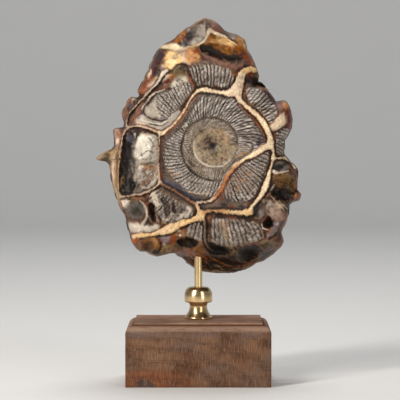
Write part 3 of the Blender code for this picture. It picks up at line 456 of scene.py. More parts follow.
# Areas of colour, the later over the earlier: colour, lift and corners
frontAreas = [
    ("coilGrey", 0, [(-38, 8), (-29, 20), (-20, 31), (-14, 40), (-3, 41), (12, 39), (21, 33), (30, 21),
     (41, 6), (42, 0), (30, -7), (20, -12), (12, -20), (5, -32), (0, -40), (-12, -43), (-28, -36), (-40, -29),
     (-41, -5)]),
    ("rosewood", 0, [(-61, 43), (-56, 52), (-50, 56), (-44, 50), (-52, 42), (-58, 38)]),
    ("plum", 0, [(-53, 58), (-47, 70), (-42, 67), (-41, 58), (-43, 55), (-48, 55)]),
    ("umber", 0, [(-45, 66), (-42, 67), (-41, 58), (-42, 55), (-45.5, 56)]),
    ("slate", 0, [(-47, 72), (-45, 76), (-41, 77), (-38, 73), (-39, 68), (-42, 66), (-46, 70)]),
    ("shellPink", 0.4, [(-52, 46.5), (-48, 52), (-42, 57), (-40, 63), (-36, 59), (-33, 57), (-35, 53),
     (-41, 49.5), (-47, 44)]),
    ("honey", 0, [(-39, 63), (-37, 71), (-33, 75), (-27, 73), (-22, 68), (-24, 65.5), (-29, 64.5), (-33, 60),
     (-37, 59)]),
    ("cream", 0.8, [(-43, 78), (-40, 80), (-30, 81), (-25, 79.5), (-20, 78), (-21, 75.5), (-27, 75.3),
     (-34, 76.5)]),
    ("shellPink", 0.3, [(-29, 75.5), (-24, 76), (-20, 77), (-21, 70), (-18, 63.5), (-23, 65), (-25, 70)]),
    ("peach", 0, [(-22, 75.5), (-15, 76), (-11, 71), (-9, 67), (-16, 64.5), (-21, 66)]),
    ("rust", -0.4, [(-17, 75), (-11, 76.5), (-9, 72.5), (-14, 71.5)]),
    # The smooth grey hollow: darker ash on its left, and paler pearl on its right wall as a painted highlight
    # where that wall faces the light
    ("ash", 0, [(-22, 93), (-16, 95.5), (-9, 97), (-6, 95), (-5.5, 86), (-8, 81), (-16, 78.5), (-22, 77.5),
     (-25, 81), (-21, 87)]),
    ("pearl", 0, [(-13, 90), (-9, 96), (-6, 94), (-6, 86), (-9, 81), (-15, 79), (-18, 80), (-14, 84)]),
    ("ochre", -0.5, [(-31, 83), (-27, 88), (-23, 91.5), (-21.5, 88), (-23, 83.5), (-27, 81.5)]),
    ("slate", 0, [(-27, 82.5), (-22, 84), (-19, 82), (-22, 78), (-26, 79.5)]),
    ("mauve", 0, [(0, 100), (4, 97.5), (11, 90.5), (6, 90), (2, 90), (-1, 92), (-2, 98)]),
    # The scoop under the top rim: its upper slope is painted bright ochre and caramel, partly painted light,
    # and its lower edge umber and near-black as painted shade
    ("ochre", 0, [(-5, 83), (-2, 86.5), (4, 87), (11, 84.5), (18, 80.5), (24, 77), (29, 72.5), (31, 69),
     (25, 68.5), (14, 70.5), (6, 73.5), (-2, 77), (-7, 79.5)]),
    ("caramel", 0, [(3, 84), (9, 84.5), (15, 81.5), (19, 77.5), (13, 76.5), (7, 78.5), (2, 81)]),
    ("umber", 0, [(-13, 78), (-6, 79.5), (0, 77.5), (6, 74), (12, 72.3), (19, 73), (26, 71.5), (28, 67.5),
     (20, 65.5), (12, 66.5), (5, 69), (-2, 71), (-10, 74)]),
    ("hollowShade", -0.8, [(-9, 77.5), (-1, 76.5), (5, 73), (11, 71), (17, 71.2), (21, 69), (12, 67.3), (5, 69.8),
     (-1, 71.7), (-8, 74)]),
    ("rust", 0, [(21, 75), (25, 76), (31, 72.5), (33, 69), (27, 67), (23, 68.5), (20, 72)]),
    ("mauve", 0, [(-8, 71), (-1, 69.5), (6, 67), (14, 64.5), (22, 64), (30, 66), (34.5, 64), (30, 62.5),
     (22, 60.5), (14, 59.5), (8, 62), (1, 65.5), (-6, 68)]),
    ("ash", 0, [(11, 90), (18, 89), (20, 87), (18, 84), (14, 86)]),
    ("caramel", 0.3, [(20, 88.5), (25, 85), (28, 79), (29, 75.5), (32.5, 69), (28, 73), (23, 77), (20, 80),
     (19, 84)]),
    ("mauve", 0, [(49, 36), (56, 37), (58.5, 34), (57, 30), (52, 29.5), (48, 31)]),
    ("caramel", 0.3, [(57, 36), (60.5, 34.5), (62.5, 31), (59, 28), (57, 31)]),
    ("oxblood", 0, [(61, 30), (64.5, 26), (65, 17), (63, 9.5), (60, 12), (58, 18), (58.5, 25)]),
    ("blush", 0.3, [(57, 26.5), (53, 24.5), (48, 19.5), (44, 14), (49, 12.7), (55, 15), (57.8, 19)]),
    ("tan", 0, [(47.5, -25), (55, -22), (62, -23), (66, -26), (67.5, -33), (64, -37), (60, -35.5), (54, -34),
     (48.5, -31.5)]),
    ("roseBrown", 0, [(62, -22), (68, -19), (69, -34), (66, -34), (65, -26)]),
    ("umber", 0, [(45.5, -37), (50, -34), (56, -33.5), (61, -35.5), (66, -39), (65, -44), (60, -46.5),
     (54, -44.5), (48, -41)]),
    # near-black in the hollow on the right: painted shade
    ("hollowShade", -1.0, [(46.5, -38), (51, -35.3), (58, -35.8), (62, -39), (60, -43), (52, -42)]),
    ("taupe", 0, [(31, -50.5), (35, -46), (40, -42), (41.5, -45), (41, -51), (39.5, -56), (34, -58)]),
    ("dustyPink", 0, [(42, -43.5), (46, -43), (52, -50), (57.5, -55), (56, -60), (50, -59), (44, -56),
     (41.5, -50)]),
    ("lilac", 0.4, [(48, -61.5), (54, -60), (53.5, -65), (49.5, -70), (44, -73.5), (43.5, -71), (47, -67)]),
    ("taupe", 0, [(38, -76), (45, -74), (49.5, -75), (49.5, -80), (46, -83), (41, -81), (38, -79)]),
    ("plum", 0, [(51, -73.5), (55, -72), (58.5, -77), (56, -82), (51, -78)]),
    ("umber", 0, [(19, -84), (23, -81), (29, -79.5), (36, -78.3), (40, -81), (37, -85), (37, -88.5),
     (30, -94), (22, -96), (14, -96), (10, -92), (12, -88.5)]),
    # near-black in the three holes along the bottom: painted shade
    ("hollowShade", -0.8, [(21, -83.5), (27, -80.5), (36, -79.5), (37.5, -82), (31, -84), (33, -88), (27, -90),
     (22, -87)]),
    ("hollowShade", -0.8, [(-5, -80), (-1, -77.5), (4, -78.3), (10, -80.5), (12.5, -84.5), (9, -87.5), (2, -86.5),
     (-3, -84.5)]),
    ("hollowShade", -0.8, [(-28, -74.5), (-24, -72.5), (-20, -75), (-12, -75.8), (-10, -78), (-14, -80.2),
     (-20, -80.8), (-26, -78.5)]),
    ("ochre", 0, [(-31, -83.5), (-20, -82), (-10, -81), (-4, -84), (0, -90), (-3, -96), (-12, -93),
     (-22, -89), (-30, -88.5)]),
    # umber along the bottom edge: partly the rock's own colour, partly painted shade where the underside
    # faces down
    ("umber", 0, [(-4, -86), (8, -88), (14, -90), (26, -92), (38, -88), (46, -84), (52, -82), (57, -82),
     (52, -88), (40, -96), (28, -102), (18, -105), (4, -105), (-6, -101)]),
    ("caramel", 0.5, [(-54, -76), (-46, -74.3), (-41.5, -78), (-42, -82), (-48, -83.3), (-55, -80.5)]),
    ("roseBrown", 0, [(-61, -80), (-55, -77), (-53, -80), (-50, -84.5), (-57, -85.5)]),
    ("amber", 0, [(-66, -72), (-62, -71), (-59, -74), (-62, -78.5), (-65.5, -77)]),
    ("lilac", 0, [(-42, -72), (-36, -70.3), (-32.5, -72), (-34, -77), (-39, -78.5), (-40, -75)]),
    ("rust", -0.4, [(-33, -71), (-29, -70.5), (-28.5, -76), (-30, -80.5), (-33, -78.5)]),
    ("sand", 0.3, [(-39.5, -79), (-34, -78.5), (-28, -80), (-27, -84), (-34, -88), (-40, -88.5), (-41, -83)]),
    ("chalk", 0.5, [(-68.5, -63), (-60, -61.5), (-55, -62.5), (-50, -63.3), (-44, -62.8), (-43, -66.5),
     (-50, -69), (-58, -69.6), (-66, -69.8), (-68.5, -66)]),
    ("chalk", 0.3, [(-73, -44), (-69, -42), (-66, -44.5), (-66.5, -48), (-69, -50), (-73, -48)]),
    ("umber", 0, [(-50.5, -46), (-47, -45.5), (-45, -50), (-44.8, -55), (-42.5, -59), (-46, -61.5),
     (-48.5, -57), (-50.8, -51)]),
    ("charcoal", 0, [(-72, 10), (-66, 12.5), (-60, 12.8), (-57, 9), (-60, 3), (-61, -5), (-61.5, -15),
     (-60, -25), (-57, -33), (-60, -38.5), (-73, -39.5), (-74, -25), (-73, -5)]),
    # near-black down the deep hollow of the left chamber: painted shade over its charcoal
    ("hollowShade", -0.6, [(-70, -1), (-66, 2), (-64, -8), (-63.5, -20), (-62, -30), (-58, -34.5), (-62, -37.5),
     (-71.5, -38.3), (-70, -30), (-69, -15)]),
    ("pearl", 2.6, [(-58, 10), (-51, 9.5), (-44, 8), (-43, 0), (-43, -12), (-55, -14), (-61, -12),
     (-61.5, -4), (-60.5, 3)]),
    # ivory over the middle of the white body: a painted highlight on its own pale colour
    ("ivory", 0.8, [(-58.5, 7), (-54, 8), (-49, 7.5), (-47, 3), (-48, -3), (-51, -9), (-56, -12),
     (-60.5, -10), (-60.8, -3), (-59.8, 2)]),
    ("pearl", 1.2, [(-61.5, -12.5), (-55, -12), (-48, -11), (-43, -9), (-43, -20), (-43, -28), (-48, -33),
     (-55, -34), (-59, -29), (-61.5, -21)]),
    ("ash", 0, [(-61, -33), (-55, -33.5), (-49, -33), (-45, -31.5), (-50, -35.5), (-56, -38), (-62, -38.5)]),
    ("dustyPink", 0, [(-80, 12), (-77, 15), (-72, 14), (-70.5, 9), (-74, 4), (-75, -3), (-79.5, -2),
     (-79.5, 4)]),
    ("bone", 0, [(-95, -11), (-86, -4), (-80, -2.5), (-75, -4), (-75, -20), (-76, -38), (-80, -37),
     (-83, -22), (-84.5, -15), (-89, -13)]),
    ("bone", 0, [(-80, -36), (-75, -38), (-74, -44), (-72, -53), (-75, -51)]),
    ("roseBrown", 0, [(-74, 25), (-71, 32.5), (-66, 40), (-62, 39), (-60, 36), (-64, 30), (-67, 24),
     (-70, 16), (-72, 16)]),
    ("roseBrown", -0.8, [(-67, 21), (-61, 29), (-54, 37), (-46, 45), (-39, 50), (-34, 52), (-32, 49),
     (-38, 45.5), (-46, 41.5), (-53, 35), (-57, 26), (-60, 19), (-66, 16)]),
    ("ribGrey", 0, [(-55, 28), (-52, 33), (-47, 38.5), (-41, 42), (-35, 42.5), (-30, 48), (-24, 51),
     (-18, 49), (-17, 44), (-21, 38), (-25, 33), (-29, 28), (-33, 23), (-37, 20), (-44, 19.5), (-50, 22)]),
    ("ivoryGrey", 0.3, [(-53.5, 27), (-50, 33), (-45, 37), (-40, 35), (-38.5, 28), (-40, 23), (-46, 21),
     (-51, 23)]),
    ("ivoryGrey", 0, [(-34, 46), (-29, 53), (-22, 55), (-18.5, 50), (-22, 46), (-29, 43.5)]),
    ("pearl", 0, [(-61, 20), (-55, 23.5), (-50, 20), (-42, 18), (-36, 19), (-30, 26), (-27, 28), (-25, 26),
     (-32, 17), (-38, 11), (-45, 12), (-52, 14), (-61, 16)]),
    ("taupe", 0.3, [(-20, 61), (-14, 65), (-4, 66.5), (4, 64.5), (12, 60.5), (16, 58), (12, 57.5), (4, 61),
     (-4, 62.5), (-12, 61.5)]),
    ("taupe", 0, [(-10, -46), (-4, -46.5), (2, -44), (8, -43), (12, -43.5), (28, -45), (32, -47), (28, -50),
     (15, -50.8), (0, -50.8), (-9, -49.8)]),
    ("roseBrown", 0, [(14, -80), (20, -79), (30, -76), (38, -73), (43, -73), (40, -76.5), (32, -79),
     (22, -82), (16, -83.5)]),
    ("slate", 0, [(32, -2), (31, 3), (33, 9), (38, 10), (40, 5), (37, 0)]),
]

# Narrow bands over the areas: colour, lift and a route with its width at each point
frontBands = [
    ("slate", -0.2, [(-35.5, 8.5, 2.0), (-31.5, 13, 3.0), (-27.5, 18.5, 3.2), (-24, 24, 2.6),
     (-21, 30, 1.6)]),
    ("groove", -0.3, [(-4.8, 97, 0.8), (-5, 92, 1.2), (-4.8, 87, 1.2), (-6, 83, 0.8)]),
    ("blush", 0.9, [(-12, 79, 1.8), (-8, 81, 2.2), (-5, 84, 2), (-3.5, 88, 3), (-2, 90.5, 3.8),
     (3, 88.7, 3.4), (8, 86.8, 2.8), (11.5, 85, 1.4)]),
    ("sand", 0.4, [(-20, 77.5, 1.2), (-15, 78, 1.2), (-10, 80, 1.4)]),
    ("plum", -0.3, [(12, 84.5, 0.8), (16, 82.5, 1), (20, 80, 0.8)]),
    ("shellPink", 0.3, [(12, 83.5, 0.7), (16, 81.5, 0.8), (19.5, 79.3, 0.6)]),
    ("plum", -0.3, [(11.5, 82.4, 0.8), (15.5, 80.4, 0.9), (18.5, 78.5, 0.8)]),
    ("roseBrown", 0, [(35.5, 47.5, 2.5), (40, 46, 3), (45, 42, 3.5), (49, 36.5, 3)]),
    ("plum", 0, [(41, 43.5, 2), (45, 40, 2.4), (48, 36, 1.8)]),
    ("plum", -0.3, [(47, 9.5, 1), (52, 12, 1), (57, 15, 0.9)]),
    ("chalk", 0.5, [(46.5, -19.5, 1.8), (49.5, -21.5, 2.6), (55, -21, 1.6), (60, -20, 1.3)]),
    ("oxblood", -0.3, [(47, -15.5, 1), (49.5, -13, 1.4), (54, -11.8, 1), (58, -12.4, 1.2), (61, -16, 1.6),
     (62, -20, 1.8)]),
    ("ochre", 0, [(66, -37, 1.6), (66.5, -41, 1.6), (65, -44.5, 1.2)]),
    ("groove", -0.3, [(47, -23.5, 1.1), (46.3, -29, 1.3), (45.5, -34, 1.2)]),
    ("chalk", 0.2, [(49, -31, 0.6), (46.5, -35, 0.9)]),
    ("shellPink", 0.3, [(46.5, -40, 0.8), (51, -45, 0.8), (57, -52, 0.8)]),
    ("umber", -0.3, [(50, -42, 1), (55, -47, 1), (60, -52.5, 1)]),
    ("shellPink", 0.3, [(52.5, -43.5, 0.7), (57, -48.5, 0.7), (60, -51, 0.6)]),
    ("groove", -0.4, [(41.7, -44.5, 0.8), (41.3, -51, 0.9), (40.3, -56.5, 0.9)]),
    ("chalk", 0.4, [(38.5, -62, 0.9), (40, -65, 1.6), (43.5, -66.8, 1.2)]),
    ("rust", 0, [(40, -59.3, 1.3), (44, -57.6, 1.3), (47.5, -59.5, 1)]),
    ("groove", -0.4, [(54, -65, 0.8), (50.5, -70.3, 1.2), (44.5, -74.3, 1.2)]),
    ("dustyPink", 0.3, [(57, -72.5, 1), (58.3, -77, 1.2), (56.5, -81.5, 1)]),
    ("rust", 0, [(58, -59, 2.2), (61, -53, 1.4)]),
    ("rust", 0, [(53, -80, 1.2), (50, -84, 1.5), (44, -86, 1.5), (38, -89, 1.5)]),
    ("blush", 0.3, [(62.2, -48, 0.8), (62, -54, 1), (60.3, -60, 0.8)]),
    ("shellPink", 0.3, [(14, -81, 1.2), (17, -85, 1.3), (14, -88, 1.2)]),
    ("dustyPink", 0.2, [(-4, -67, 0.6), (-4, -75, 0.6)]),
    ("amber", 0.2, [(-30, -84.5, 1.3), (-20, -85.5, 1.5), (-12, -88, 1.4), (-4, -91, 1.1)]),
    ("rust", -0.3, [(-28, -90, 1.4), (-21, -93, 1.6), (-16, -96.5, 1.2)]),
    ("rust", 0, [(8, -96, 1.5), (16, -98.5, 1.6), (24, -97.5, 1.3), (34, -93.5, 1.3)]),
    ("caramel", 0.5, [(-8, -84, 0.9), (-2, -89.5, 1.2), (6, -94.5, 1.3), (15, -98, 0.9)]),
    ("bone", 0.5, [(13, -100.5, 0.7), (26, -99.5, 0.9), (38, -94.5, 0.9), (48, -89, 0.9), (54.5, -83, 0.8)]),
    ("tan", 0.4, [(18, -88, 0.7), (25, -92.3, 0.9), (34, -92.4, 0.8), (41, -88, 0.7)]),
    ("ochre", 0.4, [(35, -78.3, 1.0), (40, -82.5, 1.3), (45, -86, 1.0)]),
    ("mauve", 0.3, [(42, -86, 1.6), (48, -83, 1.8), (51, -80, 1.2)]),
    ("sand", 0.4, [(12.5, -79.5, 0.9), (16, -82, 1.5), (19, -86, 1.3), (22, -89, 0.8)]),
    ("sand", 0.4, [(-8, -100.5, 1.5), (0, -101.3, 1.4), (10, -103, 1)]),
    ("sand", 0.3, [(3, -96.5, 0.8), (7, -99.5, 0.9), (10, -102.8, 0.8)]),
    ("tan", 0.2, [(20, -100.5, 0.9), (32, -96, 1.1), (45, -90, 1.1), (53, -84.5, 0.9)]),
    ("umber", -0.3, [(-61.5, -77, 0.9), (-57, -74.5, 1.1), (-52, -73.5, 0.9)]),
    ("umber", -0.4, [(-41.5, -77, 1.2), (-41, -82, 1.6), (-44, -86, 1.8), (-49, -85.5, 1.4)]),
    ("shellPink", 0.2, [(-39, -77, 0.9), (-37, -80.5, 1.1)]),
    ("plum", 0, [(-64, -56, 1.3), (-60, -56.5, 1.6), (-57, -54.5, 1.1)]),
    ("slateBlue", 0, [(-64, -58.5, 1.5), (-60, -58.7, 1.3)]),
    ("ivoryGrey", 0.6, [(-57, -44, 1.4), (-53.5, -48, 1.7), (-52, -53, 1.8), (-52.5, -58, 2.1),
     (-56, -62, 2.6)]),
    ("dustyPink", 0.2, [(-45.5, -49, 0.8), (-44.8, -55, 1), (-42.5, -60, 0.9)]),
    ("umber", -0.3, [(-67, -43, 1.6), (-62, -42.5, 1.5), (-59, -43.5, 1.1)]),
    ("rosewood", 0.2, [(-74, -45, 1.3), (-71.5, -52, 1.3), (-69, -60, 1.3)]),
    ("umber", -0.2, [(-72, -49.5, 0.8), (-69.7, -56, 0.8), (-67.5, -61.5, 0.9)]),
    ("pearl", 0, [(-62, 9, 2), (-62.8, 0, 3), (-63, -12, 3.4), (-62, -24, 3), (-60, -31, 2)]),
    ("umber", 0, [(-71.3, 5, 1.2), (-71.8, -5, 1.6), (-71.8, -15, 1.8), (-71.5, -22, 2)]),
    ("groove", -0.3, [(-50.5, 6, 0.5), (-48, 3, 0.7), (-46, -1, 0.6)]),
    ("groove", -0.3, [(-56, -8, 0.5), (-51, -4.3, 0.7), (-46.5, -5.5, 0.8)]),
    ("shellPink", 0.2, [(-43.6, 6, 1.2), (-43.9, -5, 1.3), (-43.7, -15, 1.3), (-43.5, -26, 1.1)]),
    ("tan", 0, [(-76, -6, 0.9), (-77, -20, 0.9), (-77.5, -34, 0.9)]),
    ("shellPink", 0.2, [(-78.5, -8, 1.1), (-79.5, -20, 1.3), (-79, -32, 1.1)]),
    ("groove", -0.3, [(-38, 42.4, 0.5), (-46, 39.5, 0.6), (-52, 33.3, 0.8), (-54.7, 28, 0.8),
     (-52.3, 23.5, 0.9), (-47, 20.3, 0.9), (-41, 19.3, 1), (-36.5, 20, 0.7)]),
    ("chalk", 0.4, [(-38, 43.6, 0.8), (-46.5, 40.9, 1), (-53, 34.7, 1), (-56.3, 28.5, 0.8)]),
    ("chalk", 0.4, [(-57, 20.3, 0.9), (-51, 18.3, 1.2), (-44, 16.7, 1.2), (-40, 17, 1.2), (-36, 19.5, 1),
     (-31, 24.5, 0.9)]),
    ("slate", -0.2, [(-50, 17, 0.6), (-44, 15.4, 0.7), (-39, 15.6, 0.7), (-35, 18, 0.5)]),
    ("shellPink", 0.3, [(-61, 17.5, 0.9), (-54, 16.8, 1.1), (-48, 14.7, 1), (-42, 13, 1)]),
    ("umber", -0.3, [(-32.7, 54, 1.1), (-31.7, 59, 1.1), (-28, 63, 1.3), (-23, 64, 1.3), (-20, 61, 1.1),
     (-19.5, 57, 1.1)]),
    ("rosewood", 0.2, [(-21, 58, 1.1), (-19, 54, 1.3), (-17, 50, 1.1), (-14.5, 46.5, 0.9)]),
    ("shellPink", 0.2, [(-33, -31.5, 0.4), (-22, -35.7, 0.6), (-12, -37.8, 0.6), (-2, -38, 0.8)]),
    ("ivoryGrey", 0.3, [(-48, -36.5, 3), (-45.5, -41, 4.6), (-44, -47, 3.4)]),
    ("seal", -0.4, [(-39, -42.5, 4), (-36, -48, 5.4), (-36, -54, 4.6)]),
    ("umber", -0.5, [(-31, -46, 2), (-30.5, -52, 3.4)]),
    ("chalk", 0.3, [(-28, -59, 2.4), (-22, -55.5, 5), (-18, -49.5, 3.6)]),
    ("ochre", 0, [(5, -60, 0.8), (5, -68, 0.8)]),
    ("sand", 0.2, [(8.5, -60, 1.5), (9, -72, 1.2)]),
    ("ochre", -0.2, [(11.3, -60.5, 0.8), (12.5, -74, 0.8)]),
    ("caramel", 0, [(19, -9.3, 0.8), (24, -6.5, 1.1), (29, -5, 0.6)]),
]

# Small round marks: colour, strength, u, v, half length, half width, turn. The near-black ones sit in holes
# and hollows as painted shade
frontSpots = [
    ("hazel", 0.28, 23, -28, 14, 9, 35), ("ribLight", 0.14, 33, 41, 10, 6, -45),
    ("umber", 0.7, -21.5, 16.5, 3.4, 2.4, 10), ("ivory", 0.85, -22.3, 17.6, 1.3, 1.0, 0),
    ("ivory", 0.8, -20.6, 15.6, 1.5, 0.9, 20), ("honey", 0.6, -23.6, 15.6, 1.0, 0.8, 0),
    ("ivory", 0.7, -18.8, 18.4, 1.0, 0.7, 30), ("plum", 1.0, -18.3, 86.5, 3.6, 5.0, 0),
    ("hollowShade", 0.9, -18.3, 86.5, 2.4, 3.6, 0), ("umber", 0.9, -26, 82.5, 3.0, 1.6, 20),
    ("rust", 0.8, -25, 85.5, 3.4, 1.8, 50), ("oxblood", 0.9, 2, 85.6, 2.4, 0.9, 0),
    ("hazel", 0.7, 7, 91.3, 3, 1.6, -40), ("rust", 0.8, 18, 77, 3.5, 1.6, -30),
    ("umber", 0.8, 21, 82.5, 0.9, 1.1, 0), ("rust", 0.8, 29.5, 70.5, 2, 4, -25),
    ("honey", 0.7, 26.5, 79.5, 1.2, 3.4, -30), ("honey", 0.7, 10, 82, 8, 2.8, -27),
    ("honey", 0.4, 2, 82.5, 4, 2, 0), ("oxblood", 0.7, 24.5, 72.5, 3.4, 1.6, 0),
    ("amber", 0.7, 31.5, 66, 1.4, 2.6, 0), ("honey", 0.9, 32, 60.5, 4, 1.8, 0),
    ("honey", 0.7, 25, 56, 2, 2.4, 0), ("seal", 1.0, 32.4, 52, 4.8, 4.4, 0),
    ("oxblood", 1.0, 30, 54.5, 2.8, 2.2, 30), ("slate", 0.9, 33, 50.8, 2.6, 2.6, 0),
    ("olive", 0.7, 36.8, 54, 1, 2.4, 20), ("pearl", 0.9, 52.5, 34.3, 2, 1, 0),
    ("rust", 0.7, 62, 14, 1.6, 3, 10), ("ash", 1.0, 54, -16.5, 6.6, 4.2, 0),
    ("slate", 0.8, 52, -17.8, 4, 2, 0), ("pearl", 0.6, 54, -14.5, 2.5, 1, 0), ("plum", 0.8, 62, -42, 3, 2, 0),
    ("rosewood", 0.9, 69.8, -41, 2.2, 3.4, 0), ("rust", 0.9, 69, -43.3, 1.2, 1.5, 0),
    ("blush", 0.6, 71, -38.5, 0.8, 1.4, 0), ("umber", 0.8, 63, -30, 1.6, 0.5, 20),
    ("hollowShade", 1.0, 44.7, -61.5, 2.8, 3.8, 20), ("hollowShade", 0.9, 4, -82.4, 8.5, 4.6, -12),
    ("hollowShade", 0.9, -19, -77.2, 8, 3.6, -6), ("hollowShade", 0.9, 30, -84, 6, 4, 15),
    ("hollowShade", 0.9, -65.5, -32, 6.5, 5.5, 0), ("ash", 0.6, -63.5, -12, 2.4, 9, 0),
    ("olive", 0.6, 44, -78, 4, 3, 20), ("shellPink", 0.7, 50, -50, 4, 6, -30),
    ("pearl", 0.8, 45.5, -46.5, 3, 2.6, 0), ("blush", 0.7, 53, -46.5, 1.2, 4.5, 40),
    ("caramel", 0.6, -52, -16.5, 7, 2.6, -8), ("hazel", 0.6, -50, -24, 5, 2.4, -20),
    ("hazel", 0.6, -54, -30, 4, 2, 10), ("tan", 0.6, -46, -19, 2, 3.4, 0),
    ("chalk", 0.8, 51.3, -62.5, 0.8, 1.4, -20), ("taupe", 0.9, 19, -91, 6, 3.2, 0),
    ("sand", 0.9, 15, -86, 2.2, 2.2, 0), ("umber", 0.9, -2, -97, 3.5, 1.8, 0),
    ("umber", 0.9, 14, -101, 3, 1.4, 0), ("umber", 0.8, 23, -100.5, 2.5, 1.2, 0),
    # chalk at (-25.3, -71.3) is a painted glint on the glossy rim of the hole
    ("chalk", 1.0, -25.3, -71.3, 0.9, 0.7, 0), ("oxblood", 0.9, -65.3, -71.3, 1, 1.8, -20),
    ("umber", 0.9, -46, -86.5, 2, 0.9, 0), ("ash", 1.0, -61.5, -51.5, 8.2, 7.6, 0),
    ("seal", 0.6, -60, -53, 5, 4.2, 0), ("moss", 0.9, -60, -51.8, 2.2, 2, 0),
    ("hollowShade", 0.9, -47.3, -52.5, 1.5, 4.5, 10), ("hazel", 0.9, -60, -42, 1.3, 1.5, 20),
    ("slateBlue", 0.8, -65, 5, 2.6, 3.6, 0), ("plum", 0.9, -68, 8, 1.8, 2.8, 0),
    ("hazel", 0.7, -71.7, -27.5, 1.8, 3.6, 0), ("umber", 0.9, -71.7, -27.5, 0.9, 2, 0),
    ("lilac", 0.4, -68.5, -6, 2, 8, 0), ("taupe", 0.6, -66, -22, 2.4, 5, 10),
    ("moss", 0.7, -73, -34.5, 1, 2.4, 0), ("rust", 0.7, -54, -20, 2, 1.1, 20),
    ("rust", 0.7, -51, -28, 2.5, 1.2, -20), ("rust", 0.6, -58, -26, 1.5, 1.1, 0),
    ("rust", 0.5, -48, -17, 1.6, 0.9, 0), ("ivory", 0.7, -56, -17, 3, 1.6, 30),
    ("ivory", 0.6, -50, -22, 2.4, 1.5, -10), ("umber", 0.6, -55, -31, 3, 0.9, -10),
    # blush at (-77, 2.5) is a painted highlight on the rim
    ("blush", 0.8, -77, 2.5, 1.2, 2.2, 0), ("rosewood", 0.7, -75, 9, 2, 3, 0),
    ("rust", 0.9, -66, 36, 2.2, 1.8, 30), ("rust", 0.8, -71.3, 25, 1.4, 3, 0),
    ("slateBlue", 0.8, -66, 31.5, 2, 2.4, 0), ("pearl", 0.7, -62.5, 36, 2, 1.4, 0),
    ("umber", 0.9, -65, 37.2, 0.9, 0.9, 0), ("oxblood", 0.8, -37, 49.5, 4, 2, 35),
    ("umber", 0.5, -42, 46, 4.5, 1.6, 42), ("olive", 0.5, -26, 57.5, 6, 5.4, 0),
    ("slate", 0.8, -24, 60.3, 3, 1.8, 0), ("amber", 0.8, -32.6, 55, 0.9, 1.5, 0),
    ("hollowShade", 1.0, -27.5, 51.3, 1, 0.9, 30), ("hollowShade", 1.0, -23.5, 51.5, 0.7, 0.6, 0),
    # blush at (-50, 57) is a painted highlight streak on the rosy facet
    ("umber", 0.9, -2.8, 63.3, 1.8, 0.9, -20), ("blush", 0.8, -50, 57, 1.2, 4, -20),
    ("blush", 0.7, -30, 70, 3, 2, 40), ("slateBlue", 0.7, 37.5, 5, 2, 3.4, 0),
    ("ink", 0.9, 9, -47.3, 2.6, 1.2, 0), ("oxblood", 0.9, 14.5, -47.6, 2.6, 1.4, 0),
    ("ink", 0.9, 23, -47.2, 2.4, 1.3, 0), ("rust", 0.8, 28, -46.6, 1.6, 1.1, 30),
    ("chalk", 0.9, -20.5, 17.4, 1.4, 1.1, 30), ("chalk", 0.7, -22.5, 14.8, 1.4, 0.9, 0),
    ("caramel", 0.5, -33, -20, 2.2, 1.5, 30), ("caramel", 0.5, -28.7, -23.2, 2.4, 1.6, 20),
    ("caramel", 0.4, 28.5, -22.5, 2.6, 1.6, 30), ("caramel", 0.5, 22.5, -27.5, 3.4, 1.2, 0),
    ("amber", 0.4, 20, -33, 1, 2, 0), ("ink", 0.7, 17, -32.3, 1, 0.8, 0), ("ink", 0.8, 36, 3, 2.4, 2.8, 0),
    ("cream", 0.7, -31, -65, 5, 2.2, -22), ("moss", 0.5, -36, -74, 1.2, 0.9, 0),
]
coarseAreas = [                                 # crumbled crystal
    [(-61.5, -12), (-48, -11), (-43, -9), (-43, -28), (-48, -33), (-57, -34), (-61, -22)],
    [(-47, -42), (-36, -40), (-20, -48), (-18, -57), (-34, -61), (-42, -56)],
    [(-40, -79), (-28, -79), (-10, -82), (0, -89), (10, -96), (30, -97), (34, -100), (10, -104), (-20, -97),
     (-40, -89)],
    [(-61, -12), (-46, 8), (-43, 0), (-43, -12)],
    [(37, -60), (44, -66), (41, -69), (36, -64)],
    [(-20, 61), (-4, 66.5), (12, 60.5), (16, 56), (4, 60.5), (-12, 61)],
    [(12, -80), (22, -78), (36, -74), (40, -77), (24, -83), (14, -89)],
]

# The back, which the photograph doesn't show: a like coil, a ring of veins and spokes of vein
backRing = {
    "radius": 50.0, "width": 4.4, "angles": [8, 62, 108, 158, 214, 262, 318],
    "reach": [1.0, 0.92, 1.08, 0.95, 1.04, 1.14, 0.94],
    "ringBow": [5, 3, -3, 6, 4, -4, 5], "spokeBow": [4, -5, 6, -4, 5, 3, -6],
}
backForms = [
    (-30, 72, 11, 9, 40, -7.0), (12, 74, 13, 9, -20, -9.0), (-60, -14, 8, 14, 0, -8.0),
    (50, -36, 9, 12, 10, -8.0), (-44, -68, 11, 8, 20, -7.0), (20, -80, 13, 7, 5, -7.0),
    (48, 20, 6, 9, -20, -5.0),
]
backRibs = [
    (72, 1.8, 0.1, [(-20, 54), (-28, 60), (-45, 50), (-58, 30), (-52, 24), (-42, 36)]),
    (72, 1.8, 0.0, [(-46, -36), (-58, -44), (-40, -58), (-16, -66), (-12, -58), (-34, -46)]),
    (72, 1.8, 0.1, [(44, -34), (52, -42), (62, -22), (60, 2), (52, 4), (52, -14)]),
    (96, 1.5, 0.0, [(4, 52), (6, 62), (22, 58), (30, 50), (24, 44)]),
]
